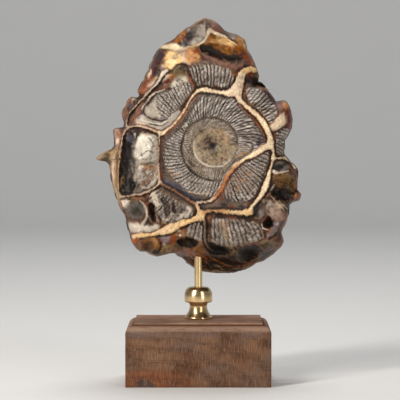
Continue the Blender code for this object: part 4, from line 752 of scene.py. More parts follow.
backAreas = [
    ("coilGrey", 0, [(46, 6), (22, 41), (-12, 48), (-42, 18), (-42, -26), (-6, -50), (34, -32)]),
    ("ochre", 0, [(-40, 68), (-32, 80), (-20, 76), (-20, 66), (-30, 62)]),
    ("umber", 0, [(-39, 66), (-32, 70), (-21, 69), (-22, 63), (-32, 62)]),
    ("ash", 0, [(0, 78), (12, 84), (25, 74), (20, 66), (6, 68)]),
    ("slate", 0, [(4, 72), (14, 74), (24, 70), (18, 65), (6, 67)]),
    ("caramel", 0, [(-68, -4), (-58, 2), (-52, -12), (-56, -28), (-66, -26)]),
    ("umber", 0, [(-66, -14), (-58, -12), (-55, -24), (-62, -28)]),
    ("taupe", 0, [(42, -28), (52, -24), (60, -36), (54, -50), (44, -46)]),
    ("charcoal", 0, [(44, -36), (52, -34), (58, -42), (52, -49), (45, -46)]),
    ("ash", 0, [(-56, -66), (-44, -60), (-34, -68), (-44, -77), (-54, -74)]),
    ("seal", 0, [(-52, -70), (-42, -66), (-37, -70), (-46, -76)]),
    ("rust", 0, [(8, -80), (18, -74), (32, -78), (30, -87), (14, -87)]),
    # near-black in the hollow low down: painted shade
    ("hollowShade", -0.6, [(11, -82), (20, -79), (30, -82), (24, -87), (14, -86)]),
    ("honey", 0, [(42, 20), (48, 30), (54, 22), (52, 12), (45, 12)]),
    ("roseBrown", 0, [(-24, 90), (-8, 100), (6, 94), (0, 84), (-16, 82)]),
    ("sand", 0.3, [(-16, 60), (0, 64), (16, 60), (12, 54), (-8, 55)]),
    ("tan", 0, [(-60, 40), (-50, 44), (-44, 30), (-52, 22), (-62, 28)]),
    ("hazel", 0, [(30, -60), (46, -56), (54, -70), (42, -78), (28, -70)]),
    ("bone", 0, [(-78, 12), (-70, 16), (-66, -10), (-74, -20), (-80, -4)]),
]
backBands = [
    ("blush", 0.6, [(-42, 60, 1.6), (-32, 62, 2), (-20, 63, 1.6)]),
    ("shellPink", 0.5, [(28, 60, 1.4), (34, 52, 2), (40, 44, 1.6)]),
    ("chalk", 0.5, [(-70, -30, 1.4), (-64, -42, 2), (-60, -54, 1.6)]),
    ("umber", -0.4, [(4, -66, 1.2), (6, -74, 1.6), (2, -84, 1.4)]),
    ("rust", -0.3, [(-30, -84, 1.4), (-10, -90, 1.8), (8, -92, 1.4)]),
    ("oxblood", -0.3, [(58, 8, 1.2), (60, -4, 1.6), (62, -16, 1.2)]),
    ("cream", 0.4, [(-50, -56, 1.8), (-36, -60, 2.4), (-20, -70, 1.6)]),
]
backSpots = [
    ("amber", 0.7, -28, 76, 4, 3, 30), ("chalk", 0.8, -12, 70, 3, 2, 0), ("rust", 0.8, -58, -6, 3, 2.4, 0),
    ("moss", 0.6, -46, -70, 3, 2, 0), ("amber", 0.6, 30, -20, 3, 2, 30), ("amber", 0.5, -22, 30, 3, 2, 0),
    # the near-black spot at (20, -83) is painted shade in the hollow there
    ("ivory", 0.7, 50, 30, 2.4, 2, 0), ("hollowShade", 0.9, 20, -83, 6, 2.4, 5), ("blush", 0.8, 62, 24, 1.6, 3, 0),
]
backCoarse = [
    [(8, -78), (30, -76), (36, -90), (4, -96)],
    [(-60, 2), (-50, -10), (-54, -30), (-66, -28)],
]


# Distance to a path, the side it is on, how far along it the nearest place is, and the width there
def nearest(places, path):
    away = np.full(len(places), np.inf)
    side = np.ones(len(places))
    along = np.zeros(len(places))
    width = np.zeros(len(places))
    walked = 0.0
    for start, end in zip(path, path[1:]):
        step = end[:2] - start[:2]
        length = max(float(np.hypot(*step)), 1e-6)
        offset = places - start[:2]
        share = np.clip(offset @ step / (length * length), 0.0, 1.0)
        gap = np.hypot(offset[:, 0] - share * step[0], offset[:, 1] - share * step[1])
        closer = gap < away
        away[closer] = gap[closer]
        side[closer] = np.sign(step[0] * offset[:, 1] - step[1] * offset[:, 0])[closer]
        along[closer] = walked + share[closer] * length
        if len(start) > 2:
            width[closer] = (start[2] + (end[2] - start[2]) * share)[closer]
        walked += length
    return away, side, along, width


def closeTo(places, path, reach):
    path = np.asarray(path, dtype=float)[:, :2]
    low, high = path.min(axis=0) - reach, path.max(axis=0) + reach
    return np.flatnonzero(np.all((places > low) & (places < high), axis=1))


# Share from 0 to 1 inside a rounded outline with the given corners
def areaShare(places, corners, soft):
    share = np.zeros(len(places))
    near = closeTo(places, corners, 4.0)
    soft = np.broadcast_to(soft, len(places))[near]
    spots = places[near]
    loop = smoothPath([*corners, corners[0]], 2.5)
    away = nearest(spots, loop)[0]
    inside = np.zeros(len(spots), dtype=bool)
    for start, end in zip(loop, loop[1:]):
        if start[1] != end[1]:
            crossing = (start[1] > spots[:, 1]) != (end[1] > spots[:, 1])
            reach = start[0] + (spots[:, 1] - start[1]) * (end[0] - start[0]) / (end[1] - start[1])
            inside ^= crossing & (spots[:, 0] < reach)
    share[near] = rise(-soft, soft, np.where(inside, away, -away))
    return share


def bowed(start, end, bow, width):
    along = (end[0] - start[0], end[1] - start[1])
    size = math.hypot(*along)
    middle = ((start[0] + end[0]) / 2 + bow * along[1] / size,
              (start[1] + end[1]) / 2 - bow * along[0] / size)
    return [(*start, width * 1.3), (*middle, width * 0.8), (*end, width * 1.2)]


def backVeins():
    corners = []
    for angle, reach in zip(backRing["angles"], backRing["reach"]):
        turn = math.radians(angle)
        radius = backRing["radius"] * reach
        corners.append((radius * math.cos(turn), radius * math.sin(turn)))
    veins = []
    for corner, following, bow in zip(corners, corners[1:] + corners[:1], backRing["ringBow"]):
        veins.append(("cream", [("umber", 1.4), ("slate", 2.0)], [("amber", 0.6)],
                      bowed(corner, following, bow, backRing["width"])))
    for corner, angle, bow in zip(corners, backRing["angles"], backRing["spokeBow"]):
        stretch = (edgeRadius(np.radians([angle]))[0] - 2.0) / math.hypot(*corner)
        veins.append(("honey", [("rust", 0.8)], [("umber", 1.0)],
                      bowed(corner, (corner[0] * stretch, corner[1] * stretch), bow, backRing["width"])))
    return veins


# Edge of the stone as a radius for each direction
def edgeRadius(turns):
    closed = np.array(outline, dtype=float)
    radii = np.hypot(closed[:, 0], closed[:, 1])
    angles = np.arctan2(closed[:, 1], closed[:, 0])
    order = np.argsort(angles)
    return np.interp(turns, angles[order], radii[order], period=2 * math.pi)


# Squared distance from the middle of an oval, 1 on its edge
def oval(places, u, v, longHalf, wideHalf, angle):
    turn = math.radians(angle)
    across = places - np.array([u, v])
    along = across[:, 0] * math.cos(turn) + across[:, 1] * math.sin(turn)
    aside = across[:, 1] * math.cos(turn) - across[:, 0] * math.sin(turn)
    return (along / longHalf) ** 2 + (aside / wideHalf) ** 2


def heelShare(places):
    sideways = np.abs(places[:, 0] - stone["heelMiddle"])
    window = 1.0 - rise(stone["heelHalfWidth"], stone["heelHalfWidth"] + stone["heelFade"], sideways)
    return window * rise(-stone["heelTop"], -stone["heelBottom"], -places[:, 1])


def greyOf(tint):
    return tint @ np.array([0.3, 0.6, 0.1])


def paint(tint, share, name):
    share = np.clip(share, 0.0, 1.0)[:, None]
    return tint * (1.0 - share) + np.array(colour(name)) * share


# Which whorl of the spiral shell a place is on, how far across it, and how far from its seam
def whorls(places):
    radius = np.maximum(np.hypot(places[:, 0], places[:, 1]), 0.4)
    degree = np.degrees(np.arctan2(places[:, 1], places[:, 0])) % 360
    growth = math.log(stone["whorlGrowth"])
    turns = np.log(radius / stone["seamRadius"]) / growth - (degree - stone["seamDegree"]) / 360
    which = np.floor(turns)
    across = turns - which
    return which, across, radius * growth * np.minimum(across, 1.0 - across), np.round(turns)


# One face of the stone: relief and colours at flat places, built up step by step from its plan
class Face:
    def __init__(self, places, plan):
        self.places = places
        self.plan = plan
        self.seed = plan["seed"]
        self.radius = np.hypot(places[:, 0], places[:, 1])
        self.degree = np.degrees(np.arctan2(places[:, 1], places[:, 0])) % 360
        self.edge = nearest(places, np.array(outline + outline[:1], dtype=float))[0]
        self.outer = rise(stone["rockStart"], stone["rockFull"], self.radius)
        wander = np.stack([self.cloud(12.0, 0), self.cloud(12.0, 10)], axis=1)
        self.quiver = np.stack([self.cloud(3.6, 20), self.cloud(3.6, 30)], axis=1)
        tremor = np.stack([self.fleck(1.3, 35), self.fleck(1.3, 36)], axis=1)
        self.loose = (places + wander * (0.9 * self.outer)[:, None]
                      + self.quiver * (0.7 * self.outer + 0.3)[:, None] + tremor * 0.3)
        self.firm = places + self.quiver * 0.4 + tremor * 0.35
        self.setCrown()
        self.paintRock()
        self.paintAreas()
        self.paintCoil()
        self.cutRibs()
        self.drawMarks()
        self.layVeins()
        self.mellow()
        self.raiseSurface()

    def cloud(self, size, shift, layers=3):
        return layered(self.places, size, self.seed + shift, layers)

    def fleck(self, size, shift):
        return ripple(self.places, size, self.seed + shift)

    def paint(self, share, name):
        self.tint = paint(self.tint, share, name)

    def polish(self, share, name):
        self.gloss = self.gloss + (glossOf.get(name, stone["plainGloss"]) - self.gloss) * share

    # The rounded crown of the face, slimmer at the thorn and at the heel
    def setCrown(self):
        inset = 1.0 - np.minimum(self.edge / stone["edgeRounding"], 1.0)
        self.crown = self.plan["crown"] * np.sqrt(np.maximum(0.0, 1.0 - inset * inset))
        thorn = np.hypot(self.places[:, 0] - stone["thorn"][0], self.places[:, 1] - stone["thorn"][1])
        nearThorn = 1.0 - rise(stone["thornReach"] / 2, stone["thornReach"], thorn)
        self.crown *= 1.0 - (1.0 - stone["thornThickness"]) * nearThorn
        self.crown *= 1.0 - stone["heelThinning"] * heelShare(self.places)

    def paintRock(self):
        self.tint = np.tile(np.array(colour("rind")), (len(self.places), 1))
        for name, grain, strength in rockBrowns:
            self.seed += 3
            self.paint(rise(0.05, 0.5, layered(self.loose, grain, self.seed + 40, 2)) * strength, name)

    def paintAreas(self):
        self.lift = np.zeros(len(self.places))
        self.gloss = stone["edgeGloss"] * rise(14.0, 4.0, self.edge)
        for name, raised, corners in self.plan["areas"]:
            soft = 0.8 + (2.0 if name in ("hollowShade", "umber") else 0.7) * self.outer
            share = areaShare(self.loose, corners, soft)
            self.paint(share * 0.94, name)
            self.lift += raised * share
            self.polish(share, name)
        self.coil = areaShare(self.places, self.plan["areas"][0][2], 1.0)

    # Whorls of the coil: bulge, seams, and the colours of the older turns
    def paintCoil(self):
        radius, degree, coil = self.radius, self.degree, self.coil
        which, across, fromSeam, seamNumber = whorls(self.places + self.quiver * 0.5)
        fromSwell = (radius - stone["coilSwellRadius"]) / stone["coilSwellWidth"]
        self.swell = stone["coilSwell"] * np.exp(-fromSwell ** 2)
        bulge = np.select([which == 1, which == 0], [1.0, 0.6])
        self.swell += stone["whorlBulge"] * np.sin(math.pi * across) ** 0.8 * bulge
        dim = rise(-0.5, 0.4, self.cloud(5.0, 43))
        seen = 0.1 + 0.9 * rise(130.0, 190.0, degree) * (1.0 - rise(240.0, 290.0, degree))
        seam = np.exp(-(fromSeam / stone["seamWidth"]) ** 2) * coil * (seamNumber == 1) * seen
        seam *= 0.2 + 0.8 * dim
        older = coil * (which <= 0)
        paleLine = np.exp(-(fromSeam / 0.5) ** 2) * (seamNumber == 0) * rise(150.0, 175.0, degree)
        for name, share in (
                ("whorlBrown", older * 0.9),
                ("discTan", coil * (which <= -1) * 0.85),
                ("hazel", coil * (radius < 15.0) * dim * 0.3),
                ("moss", coil * rise(11.0, 7.0, radius) * dim * 0.5),
                ("oliveGrey", coil * rise(9.5, 5.0, radius) * 0.6),
                ("plum", coil * rise(1.4, 0.4, oval(self.loose, -1.6, 1.2, 6.4, 5.6, 0)) * 0.75),
                ("sand", coil * rise(1.2, 0.4, oval(self.places, 9, 7, 5.0, 6.0, 40)) * 0.4),
                ("umber", older * rise(0.0, 0.4, self.cloud(1.8, 46, 2)) * 0.6),
                ("bone", older * rise(0.05, 0.5, self.cloud(1.6, 48, 2)) * 0.55),
                ("chalk", coil * paleLine * (1.0 - rise(310.0, 335.0, degree)) * 0.95),
                ("groove", seam),
                # near-black in the pit at the coil's middle: painted shade
                ("hollowShade", rise(3.4, 1.2, radius)),
                ("hazel", rise(1.0, 0.3, oval(self.places, 0.8, 2.2, 1.2, 1.0, 0)) * 0.7)):
            self.paint(share, name)
        self.which, self.seam = which, seam
        self.seamGap = np.where(seamNumber > 1, 9.0, fromSeam)

    # Ribs of the coil and of the cells round it, each rib with a strength of its own, with a painted
    # highlight on the crests and painted shade in the furrows
    def cutRibs(self):
        radius, degree, which = self.radius, self.degree, self.which
        self.phase = np.zeros(len(self.places))
        self.reach = np.zeros(len(self.places))
        jitter = stone["ribWander"] * self.cloud(7.0, 50) + stone["ribJitter"] * self.fleck(2.0, 53)
        for number, (count, height, slant, end) in zip((1, 0), ringRibs):
            onWhorl = np.minimum(which, 1) == number
            share = self.coil * onWhorl * rise(0.4, 1.6, self.seamGap)
            share *= 1.0 - rise(end - 1.2, end + 0.5, radius)
            self.reach = np.maximum(self.reach, share * height)
            self.phase = np.where(onWhorl, np.radians((degree + slant * radius) * count) + jitter, self.phase)
        for count, height, slant, corners in self.plan["ribs"]:
            share = areaShare(self.loose, corners, 0.9)
            taken = share * height > self.reach
            self.reach = np.maximum(self.reach, share * height)
            self.phase = np.where(taken, np.radians((degree + slant * radius) * count) + jitter, self.phase)
            self.paint(share * 0.85, "ribGrey")
        lots = np.random.default_rng(self.seed).uniform(-1, 1, 997)
        luck = lots[np.floor(self.phase / (2 * math.pi)).astype(int) % len(lots)]
        self.fit = np.clip(0.5 + 0.7 * self.cloud(3.5, 55) + stone["ribLuck"] * luck, 0.1, 1.3)
        crest = (np.cos(self.phase) * 0.5 + 0.5) ** 0.5
        along = np.stack([degree * radius / 57.3 / 0.75, radius / 2.6], axis=1)
        self.streak = layered(along, 1.0, self.seed + 58, 2)
        self.ribbed = rise(0.3, 1.1, self.reach)
        # lit brightens the painted crest highlight towards the top
        lit = 0.7 + 0.25 * rise(-25.0, 20.0, self.places[:, 1])
        slit = rise(0.7, 0.2, crest) * rise(-0.2, 0.7, 0.5 * luck + self.cloud(3.0, 68))
        self.paint((which >= 1) * self.coil * self.ribbed * 0.8, "ribGrey")
        for name, share in (
                ("ribLight", rise(-0.1, 0.7, self.cloud(9.0, 60)) * 0.35),
                ("seal", rise(0.05, 0.6, self.cloud(5.0, 63)) * 0.5),
                ("tan", rise(0.3, 0.8, self.cloud(7.0, 66)) * 0.4),
                # painted highlight on the crests
                ("ribLight", rise(-0.2, 0.6, self.streak) * crest * lit),
                ("seal", rise(0.05, 0.55, -self.streak) * 0.6),
                # painted shade in the furrows
                ("umber", (0.3 + 0.6 * slit) * rise(0.75, 0.2, crest))):
            self.paint(self.ribbed * share, name)

    # Bands and spots drawn over the areas and the ribs
    def drawMarks(self):
        for name, raised, route in self.plan["bands"]:
            path = smoothPath(route, 2.0)
            near = closeTo(self.firm, path, 3.0)
            away, _, _, width = nearest(self.firm[near], path)
            share = 1.0 - rise(-0.35, 0.4, away - width / 2)
            self.tint[near] = paint(self.tint[near], share * 0.92, name)
            self.lift[near] += raised * share
            self.reach[near] *= 1.0 - 0.8 * share
        for name, strength, *shape in self.plan["spots"]:
            share = rise(1.5, 0.4, oval(self.loose, *shape))
            self.paint(share * strength, name)
            self.polish(share, name)

    # Raised veins, melted together where they meet, with the margins of colour beside them
    def layVeins(self):
        size = len(self.places)
        nearVein = np.full(size, 1e-9)
        veinTint = np.zeros((size, 3))
        self.barred = np.zeros(size)
        for number, (name, leftMargins, rightMargins, route) in enumerate(self.plan["veins"]):
            path = smoothPath(route, 2.0)
            near = closeTo(self.firm, path, 10.0)
            away, side, along, width = nearest(self.firm[near], path)
            swing = ripple(np.stack([along, along * 0 + number * 9], axis=1), 5.0, self.seed + 70)
            fray = 0.09 * np.minimum(width, 3.0) * ripple(self.places[near], 1.5, self.seed + 75)
            outside = away - width * (0.43 + 0.09 * swing) + fray
            weight = np.exp(-outside / 0.7)
            nearVein[near] += weight
            veinTint[near] += weight[:, None] * np.array(colour(name))
            length = along.max() if len(along) else 0.0
            beside = (along > 0.02) & (along < length - 0.02)
            for sign, margins in ((1, leftMargins), (-1, rightMargins)):
                start = 0.0
                for marginName, wide in margins:
                    share = rise(start - 0.35, start + 0.25, outside + 0.15 * swing) * beside * (side == sign)
                    end = outside - 0.2 * swing * wide
                    share *= 1.0 - rise(start + 0.8 * wide - 0.3, start + wide * 1.15 + 0.3, end)
                    self.tint[near] = paint(self.tint[near], share * 0.88, marginName)
                    self.barred[near] = np.maximum(self.barred[near], share)
                    start += wide
        outside = -0.7 * np.log(nearVein)
        veinTint /= nearVein[:, None]
        self.proud = 1.0 - rise(-0.4, 0.5, outside)
        self.moat = np.exp(-(np.maximum(outside, 0.0) / stone["moatWidth"]) ** 2)
        veinTint *= (1.05 + 0.18 * self.cloud(6.0, 80))[:, None]
        pale = rise(0.1, 0.5, greyOf(veinTint))
        for name, share in (
                ("blush", pale * rise(-0.2, 0.5, self.cloud(4.0, 86)) * 0.55),
                ("tan", rise(0.05, 0.5, self.cloud(2.0, 83)) * 0.35),
                ("ochre", pale * rise(-0.7, 0.1, outside) * 0.35),
                ("ochre", rise(0.2, 0.6, self.fleck(1.2, 88)) * 0.3),
                ("umber", rise(0.5, 0.75, self.fleck(0.9, 89)) * 0.4)):
            veinTint = paint(veinTint, share, name)
        self.veinTint = veinTint

    # Light and dark patches, pale threads in the darkest rock, painted shade towards the bottom, deeper
    # colour outside, then the veins
    def mellow(self):
        # below sets painted shade: darker and deeper in colour towards the bottom, where the underside faces
        # down
        below = rise(stone["darkStart"], stone["darkFull"], -self.places[:, 1])
        dark = rise(0.12, 0.03, greyOf(self.tint)) * self.outer * (1.0 - 0.8 * self.ribbed)
        dark *= rise(0.0, 1.0, self.edge)
        self.thread = rise(0.16, 0.03, np.abs(layered(self.loose, 8.0, self.seed + 120)))
        self.thread *= rise(-0.2, 0.4, self.cloud(9.0, 123))
        self.thread *= dark * rise(stone["threadStart"], stone["threadFull"], -self.places[:, 1])
        self.paint(self.thread * 0.6, "tan")
        tone = 0.26 * self.cloud(5.0, 90) + 0.18 * self.fleck(1.6, 93)
        tone *= 1.0 - 0.7 * np.clip(self.gloss, 0.0, 1.0)
        tone -= 0.6 * below * (1.0 - self.ribbed)
        tone = 1.0 + tone + 0.45 * self.outer * layered(self.loose, 11.0, self.seed + 96, 2)
        tint = self.tint * tone[:, None]
        grey = greyOf(tint)
        deeper = 1.0 + (0.15 * self.outer + 0.25 * below) * rise(0.4, 0.15, grey)
        tint = grey[:, None] + (tint - grey[:, None]) * deeper[:, None]
        tint = np.maximum(tint, 0.001) ** (1.0 + 0.06 * self.outer)[:, None]
        self.tint = tint * (1.0 - self.proud[:, None]) + self.veinTint * self.proud[:, None]

    # The height of the face over the stone's middle plane
    def raiseSurface(self):
        proud, ribbed, edge = self.proud, self.ribbed, self.edge
        height = self.crown - stone["moatDepth"] * self.moat * (1.0 - proud) + stone["veinProud"] * proud
        height += self.swell * (1.0 - proud)
        height -= stone["pitDepth"] * np.exp(-(self.radius / stone["pitRadius"]) ** 2)
        height -= stone["seamDepth"] * self.seam * (1.0 - proud)
        height += self.lift * (1.0 - proud)
        self.hollow = np.zeros(len(edge))
        for *shape, form in self.plan["forms"]:
            share = np.maximum(0.0, 1.0 - oval(self.loose, *shape)) ** 0.9
            height += form * share * (1.0 - 0.6 * proud)
            if form < 0:
                self.hollow = np.maximum(self.hollow, share * min(1.0, -form / 8.0))
        matt = 1.0 - 0.85 * np.clip(self.gloss, 0.0, 1.0)
        rough = (0.9 * self.cloud(10.0, 100) + 0.5 * self.cloud(3.5, 103)) * self.outer
        rough *= matt
        height += rough * (1.0 - 0.5 * proud) * (1.0 - 0.6 * ribbed) + 0.4 * ribbed * self.streak
        height += 0.22 * self.cloud(2.2, 106) * rise(20.0, 27.0, self.radius) * matt
        height += 0.5 * self.thread * (1.0 - proud)
        height = self.crown + (np.maximum(height, 0.3 * self.crown) - self.crown) * rise(0.0, 0.9, edge)
        self.height = np.where(edge < 0.001, 0.0, height)

    # What the mesh carries: height, colour, and the shares that the relief and the finish read
    def values(self):
        proud, edge = self.proud, self.edge
        coarse = np.zeros(len(edge))
        for corners in self.plan["coarse"]:
            coarse = np.maximum(coarse, areaShare(self.loose, corners, 1.6))
        reach = self.reach * self.fit * (1.0 - self.barred) * (1.0 - rise(0.0, 0.6, proud))
        reach *= rise(1.5, 5.0, edge)
        reach *= 1.0 - rise(0.1, 0.5, self.hollow)
        gloss = self.gloss * (1.0 - proud) + 0.4 * proud
        rind = rise(44.0, 54.0, self.radius) * (1.0 - proud) * (1.0 - self.ribbed)
        rind *= 1.0 - 0.7 * rise(0.1, 0.6, self.hollow)
        nearEdge = (1.0 - 0.6 * rise(14.0, 22.0, edge)) * (0.3 + 0.7 * rise(1.0, 8.0, edge))
        rind *= nearEdge * (1.0 - 0.6 * gloss)
        return {"height": self.height, "tint": np.clip(self.tint, 0.0, 1.0), "gloss": gloss,
                "ribPhase": self.phase, "ribReach": reach, "coarse": coarse * (1.0 - proud), "rind": rind,
                "vein": proud, "edge": edge}


# Rings of a face, from a small circle at the coil out to the edge: radius, spokes and share
def ringPlan(spokes, coreRings, outerRings):
    rings = []
    count = spokes // 16
    for start, end, steps in coreRings:
        rings += [(radius, count, 0.0) for radius in np.linspace(start, end, steps)]
        count *= 2
    for step in range(1, outerRings):
        share = 1.0 - (1.0 - step / outerRings) ** stone["rimCrowding"]
        rings.append((stone["circleRadius"], spokes, share))
    return rings


def ringPlaces(radius, count, share):
    turns = np.arange(count) * 2 * math.pi / count
    reach = radius + (edgeRadius(turns) - radius) * share if share > 0 else np.full(count, radius)
    return np.stack([reach * np.cos(turns), reach * np.sin(turns)], axis=1)


# Faces between two rings, where the outer has as many spokes as the inner or twice as many
def stitch(innerStart, innerCount, outerStart, outerCount):
    faces = []
    for step in range(innerCount):
        after = (step + 1) % innerCount
        if outerCount == innerCount:
            faces.append((innerStart + step, outerStart + step, outerStart + after, innerStart + after))
        else:
            first = outerStart + 2 * step
            middle = first + 1
            last = outerStart + (2 * step + 2) % outerCount
            faces += [(innerStart + step, first, middle), (innerStart + step, middle, innerStart + after),
                      (innerStart + after, middle, last)]
    return faces


def makeStone():
    spokes = stone["spokes"]
    frontRings = ringPlan(spokes, stone["frontCore"], stone["frontRings"])
    backRings = ringPlan(spokes // 2, stone["backCore"], stone["backRings"])
    rim = ringPlaces(stone["circleRadius"], spokes, 1.0)
    flat = [rim]
    faces = []
    total = len(rim)
    for rings, forward in ((frontRings, True), (backRings, False)):
        flat.append(np.zeros((1, 2)))
        centre = total
        total += 1
        before = None
        patch = []
        for radius, count, share in rings:
            flat.append(ringPlaces(radius, count, share))
            if before is None:
                patch += [(centre, total + step, total + (step + 1) % count) for step in range(count)]
            else:
                patch += stitch(before[0], before[1], total, count)
            before = (total, count)
            total += count
        patch += stitch(before[0], before[1], 0, spokes)
        faces += patch if forward else [tuple(reversed(face)) for face in patch]
    flat = np.vstack(flat)
    split = len(rim) + 1 + sum(count for _, count, _ in frontRings)
    front = Face(flat[:split], {
        "seed": 1, "crown": stone["crownFront"], "veins": frontVeins, "ribs": frontRibs, "forms": frontForms,
        "areas": frontAreas, "bands": frontBands, "spots": frontSpots, "coarse": coarseAreas}).values()
    back = Face(flat[split:], {
        "seed": 501, "crown": stone["crownBack"], "veins": backVeins(), "ribs": backRibs, "forms": backForms,
        "areas": backAreas, "bands": backBands, "spots": backSpots, "coarse": backCoarse}).values()
    values = {key: np.concatenate([front[key], back[key]]) for key in front}
    side = np.where(np.arange(len(flat)) < split, -1.0, 1.0)
    depth = stone["heelShift"] * heelShare(flat) + side * values["height"]

    # The broken edge: ridges that run over it from face to face
    turns = np.arctan2(flat[:, 1], flat[:, 0])
    wall = np.stack([turns * stone["edgeRun"], depth], axis=1)
    nearEdge = rise(stone["edgeRounded"], 1.0, values["edge"])
    rough = 0.5 + 0.6 * layered(wall, 12.0, 701) + 0.3 * layered(wall, 4.0, 711)
    radius = np.maximum(np.hypot(flat[:, 0], flat[:, 1]), 0.01)
    flat = flat * (1.0 - np.clip(rough, 0.0, 2.0) * nearEdge / radius)[:, None]
    onWall = rise(1.6, 0.2, values["edge"])
    values["tint"] = paint(values["tint"], onWall * 0.7, "rind")
    for number, (name, grain) in enumerate(wallBrowns):
        share = onWall * rise(0.1, 0.6, layered(wall, grain, 721 + 10 * number, 2)) * 0.8
        values["tint"] = paint(values["tint"], share, name)

    low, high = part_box("fossil")
    coilX = low.x / mm + stone["tipLeft"]
    coilZ = high.z / mm - stone["tipTop"]
    places = np.stack([coilX + flat[:, 0], depth, coilZ + flat[:, 1]], axis=1)
    piece = makePiece("stone", places, faces)
    for name in ("gloss", "ribPhase", "ribReach", "coarse", "rind", "vein"):
        addLayer(piece.data, name, values[name])
    layer = piece.data.attributes.new("tint", "FLOAT_COLOR", "POINT")
    layer.data.foreach_set("color", np.column_stack([values["tint"], np.ones(len(places))]).ravel())
    return piece


# Ribs, chipped rock, crumbled crystal and grain are raised by rule on the modelled stone
relief = {"Rib Share": 1.0, "Rib Fullness": 0.5, "Grain Height": 0.0002, "Grain Size": 700.0,
          "Pit Depth": 0.0004, "Pit Size": 300.0, "Chip Depth": 0.0026, "Chip Size": 78.0,
          "Crumb Height": 0.0012, "Crumb Size": 520.0}


def reliefTree(material):
    group = newGroup("stone relief", {name: ("Float", value) for name, value in relief.items()})
    web = Web(group)
    start = web.node("NodeGroupInput").socket.node
    put = {item.name: Wire(web, item) for item in start.outputs if item.name}

    def field(name):
        return web.node("GeometryNodeInputNamedAttribute", {"data_type": "FLOAT"}, {"Name": name},
                        "Attribute")

    def cells(spot, scale):
        return web.node("ShaderNodeTexVoronoi", {"feature": "F1"}, {"Vector": spot, "Scale": scale},
                        "Distance")

    place = web.node("GeometryNodeInputPosition", {}, {}, "Position")
    stir = web.node("ShaderNodeTexNoise", {}, {"Vector": place, "Scale": 160.0, "Detail": 2.0}, "Color")
    stir = web.node("ShaderNodeVectorMath", {"operation": "MULTIPLY_ADD"},
                    {0: stir, 1: (0.006, 0.006, 0.006), 2: place}, "Vector")

    def scoops(scale):
        away = cells(stir, scale)
        return away * away - 0.5

    crest = web.node("ShaderNodeMath", {"operation": "COSINE"}, {0: field("ribPhase")}) * 0.5 + 0.5
    crest = crest ** put["Rib Fullness"]
    ribLift = (crest - 0.6) * field("ribReach") * put["Rib Share"] * mm
    grain = web.noise(place, put["Grain Size"], 4.0, 0.6) - 0.5
    pits = web.between(web.noise(place, put["Pit Size"], 2.0), 0.62, 0.75) * put["Pit Depth"]
    matt = 1.0 - field("gloss") * 0.8
    chips = scoops(put["Chip Size"]) + scoops(put["Chip Size"] * 2.6) * 0.35
    chips = chips * put["Chip Depth"] * field("rind")
    crumbs = (0.45 - cells(place, put["Crumb Size"])) * put["Crumb Height"] * field("coarse")
    lift = ribLift + chips + crumbs + (grain * put["Grain Height"] * 2.0 - pits) * matt
    normal = web.node("GeometryNodeInputNormal", {}, {}, "Normal")
    offset = web.node("ShaderNodeVectorMath", {"operation": "SCALE"}, {0: normal, "Scale": lift}, "Vector")
    shape = put["Geometry"]
    for kind, sockets in (("GeometryNodeSetPosition", {"Offset": offset}),
                          ("GeometryNodeRealizeInstances", {}),
                          ("GeometryNodeSetMaterial", {"Material": material})):
        shape = web.node(kind, {}, {"Geometry": shape, **sockets}, "Geometry")
    web.node("NodeGroupOutput", {}, {"Geometry": shape})
    return group


# How deep each point lies below its surroundings, near by and farther round, for painted shade in crevices
# and recesses and paler exposed ridges
def addCavity(piece):
    mesh = piece.data
    count = len(mesh.vertices)
    spots = np.zeros(count * 3)
    normals = np.zeros(count * 3)
    ends = np.zeros(len(mesh.edges) * 2, dtype=np.int32)
    mesh.vertices.foreach_get("co", spots)
    mesh.vertices.foreach_get("normal", normals)
    mesh.edges.foreach_get("vertices", ends)
    spots, normals, ends = spots.reshape(-1, 3), normals.reshape(-1, 3), ends.reshape(-1, 2)
    near = np.concatenate([ends[:, 0], ends[:, 1]])
    far = np.concatenate([ends[:, 1], ends[:, 0]])
    neighbours = np.bincount(near, minlength=count)
    blurred = spots.copy()
    for name, steps, scale in (("cavity", 4, 0.00022), ("shelter", 40, 0.0011)):
        for _ in range(steps):
            blurred = np.stack([np.bincount(near, weights=blurred[far, axis], minlength=count) / neighbours
                                for axis in range(3)], axis=1)
        addLayer(mesh, name, np.clip(np.sum((blurred - spots) * normals, axis=1) / scale, -1.0, 1.0))


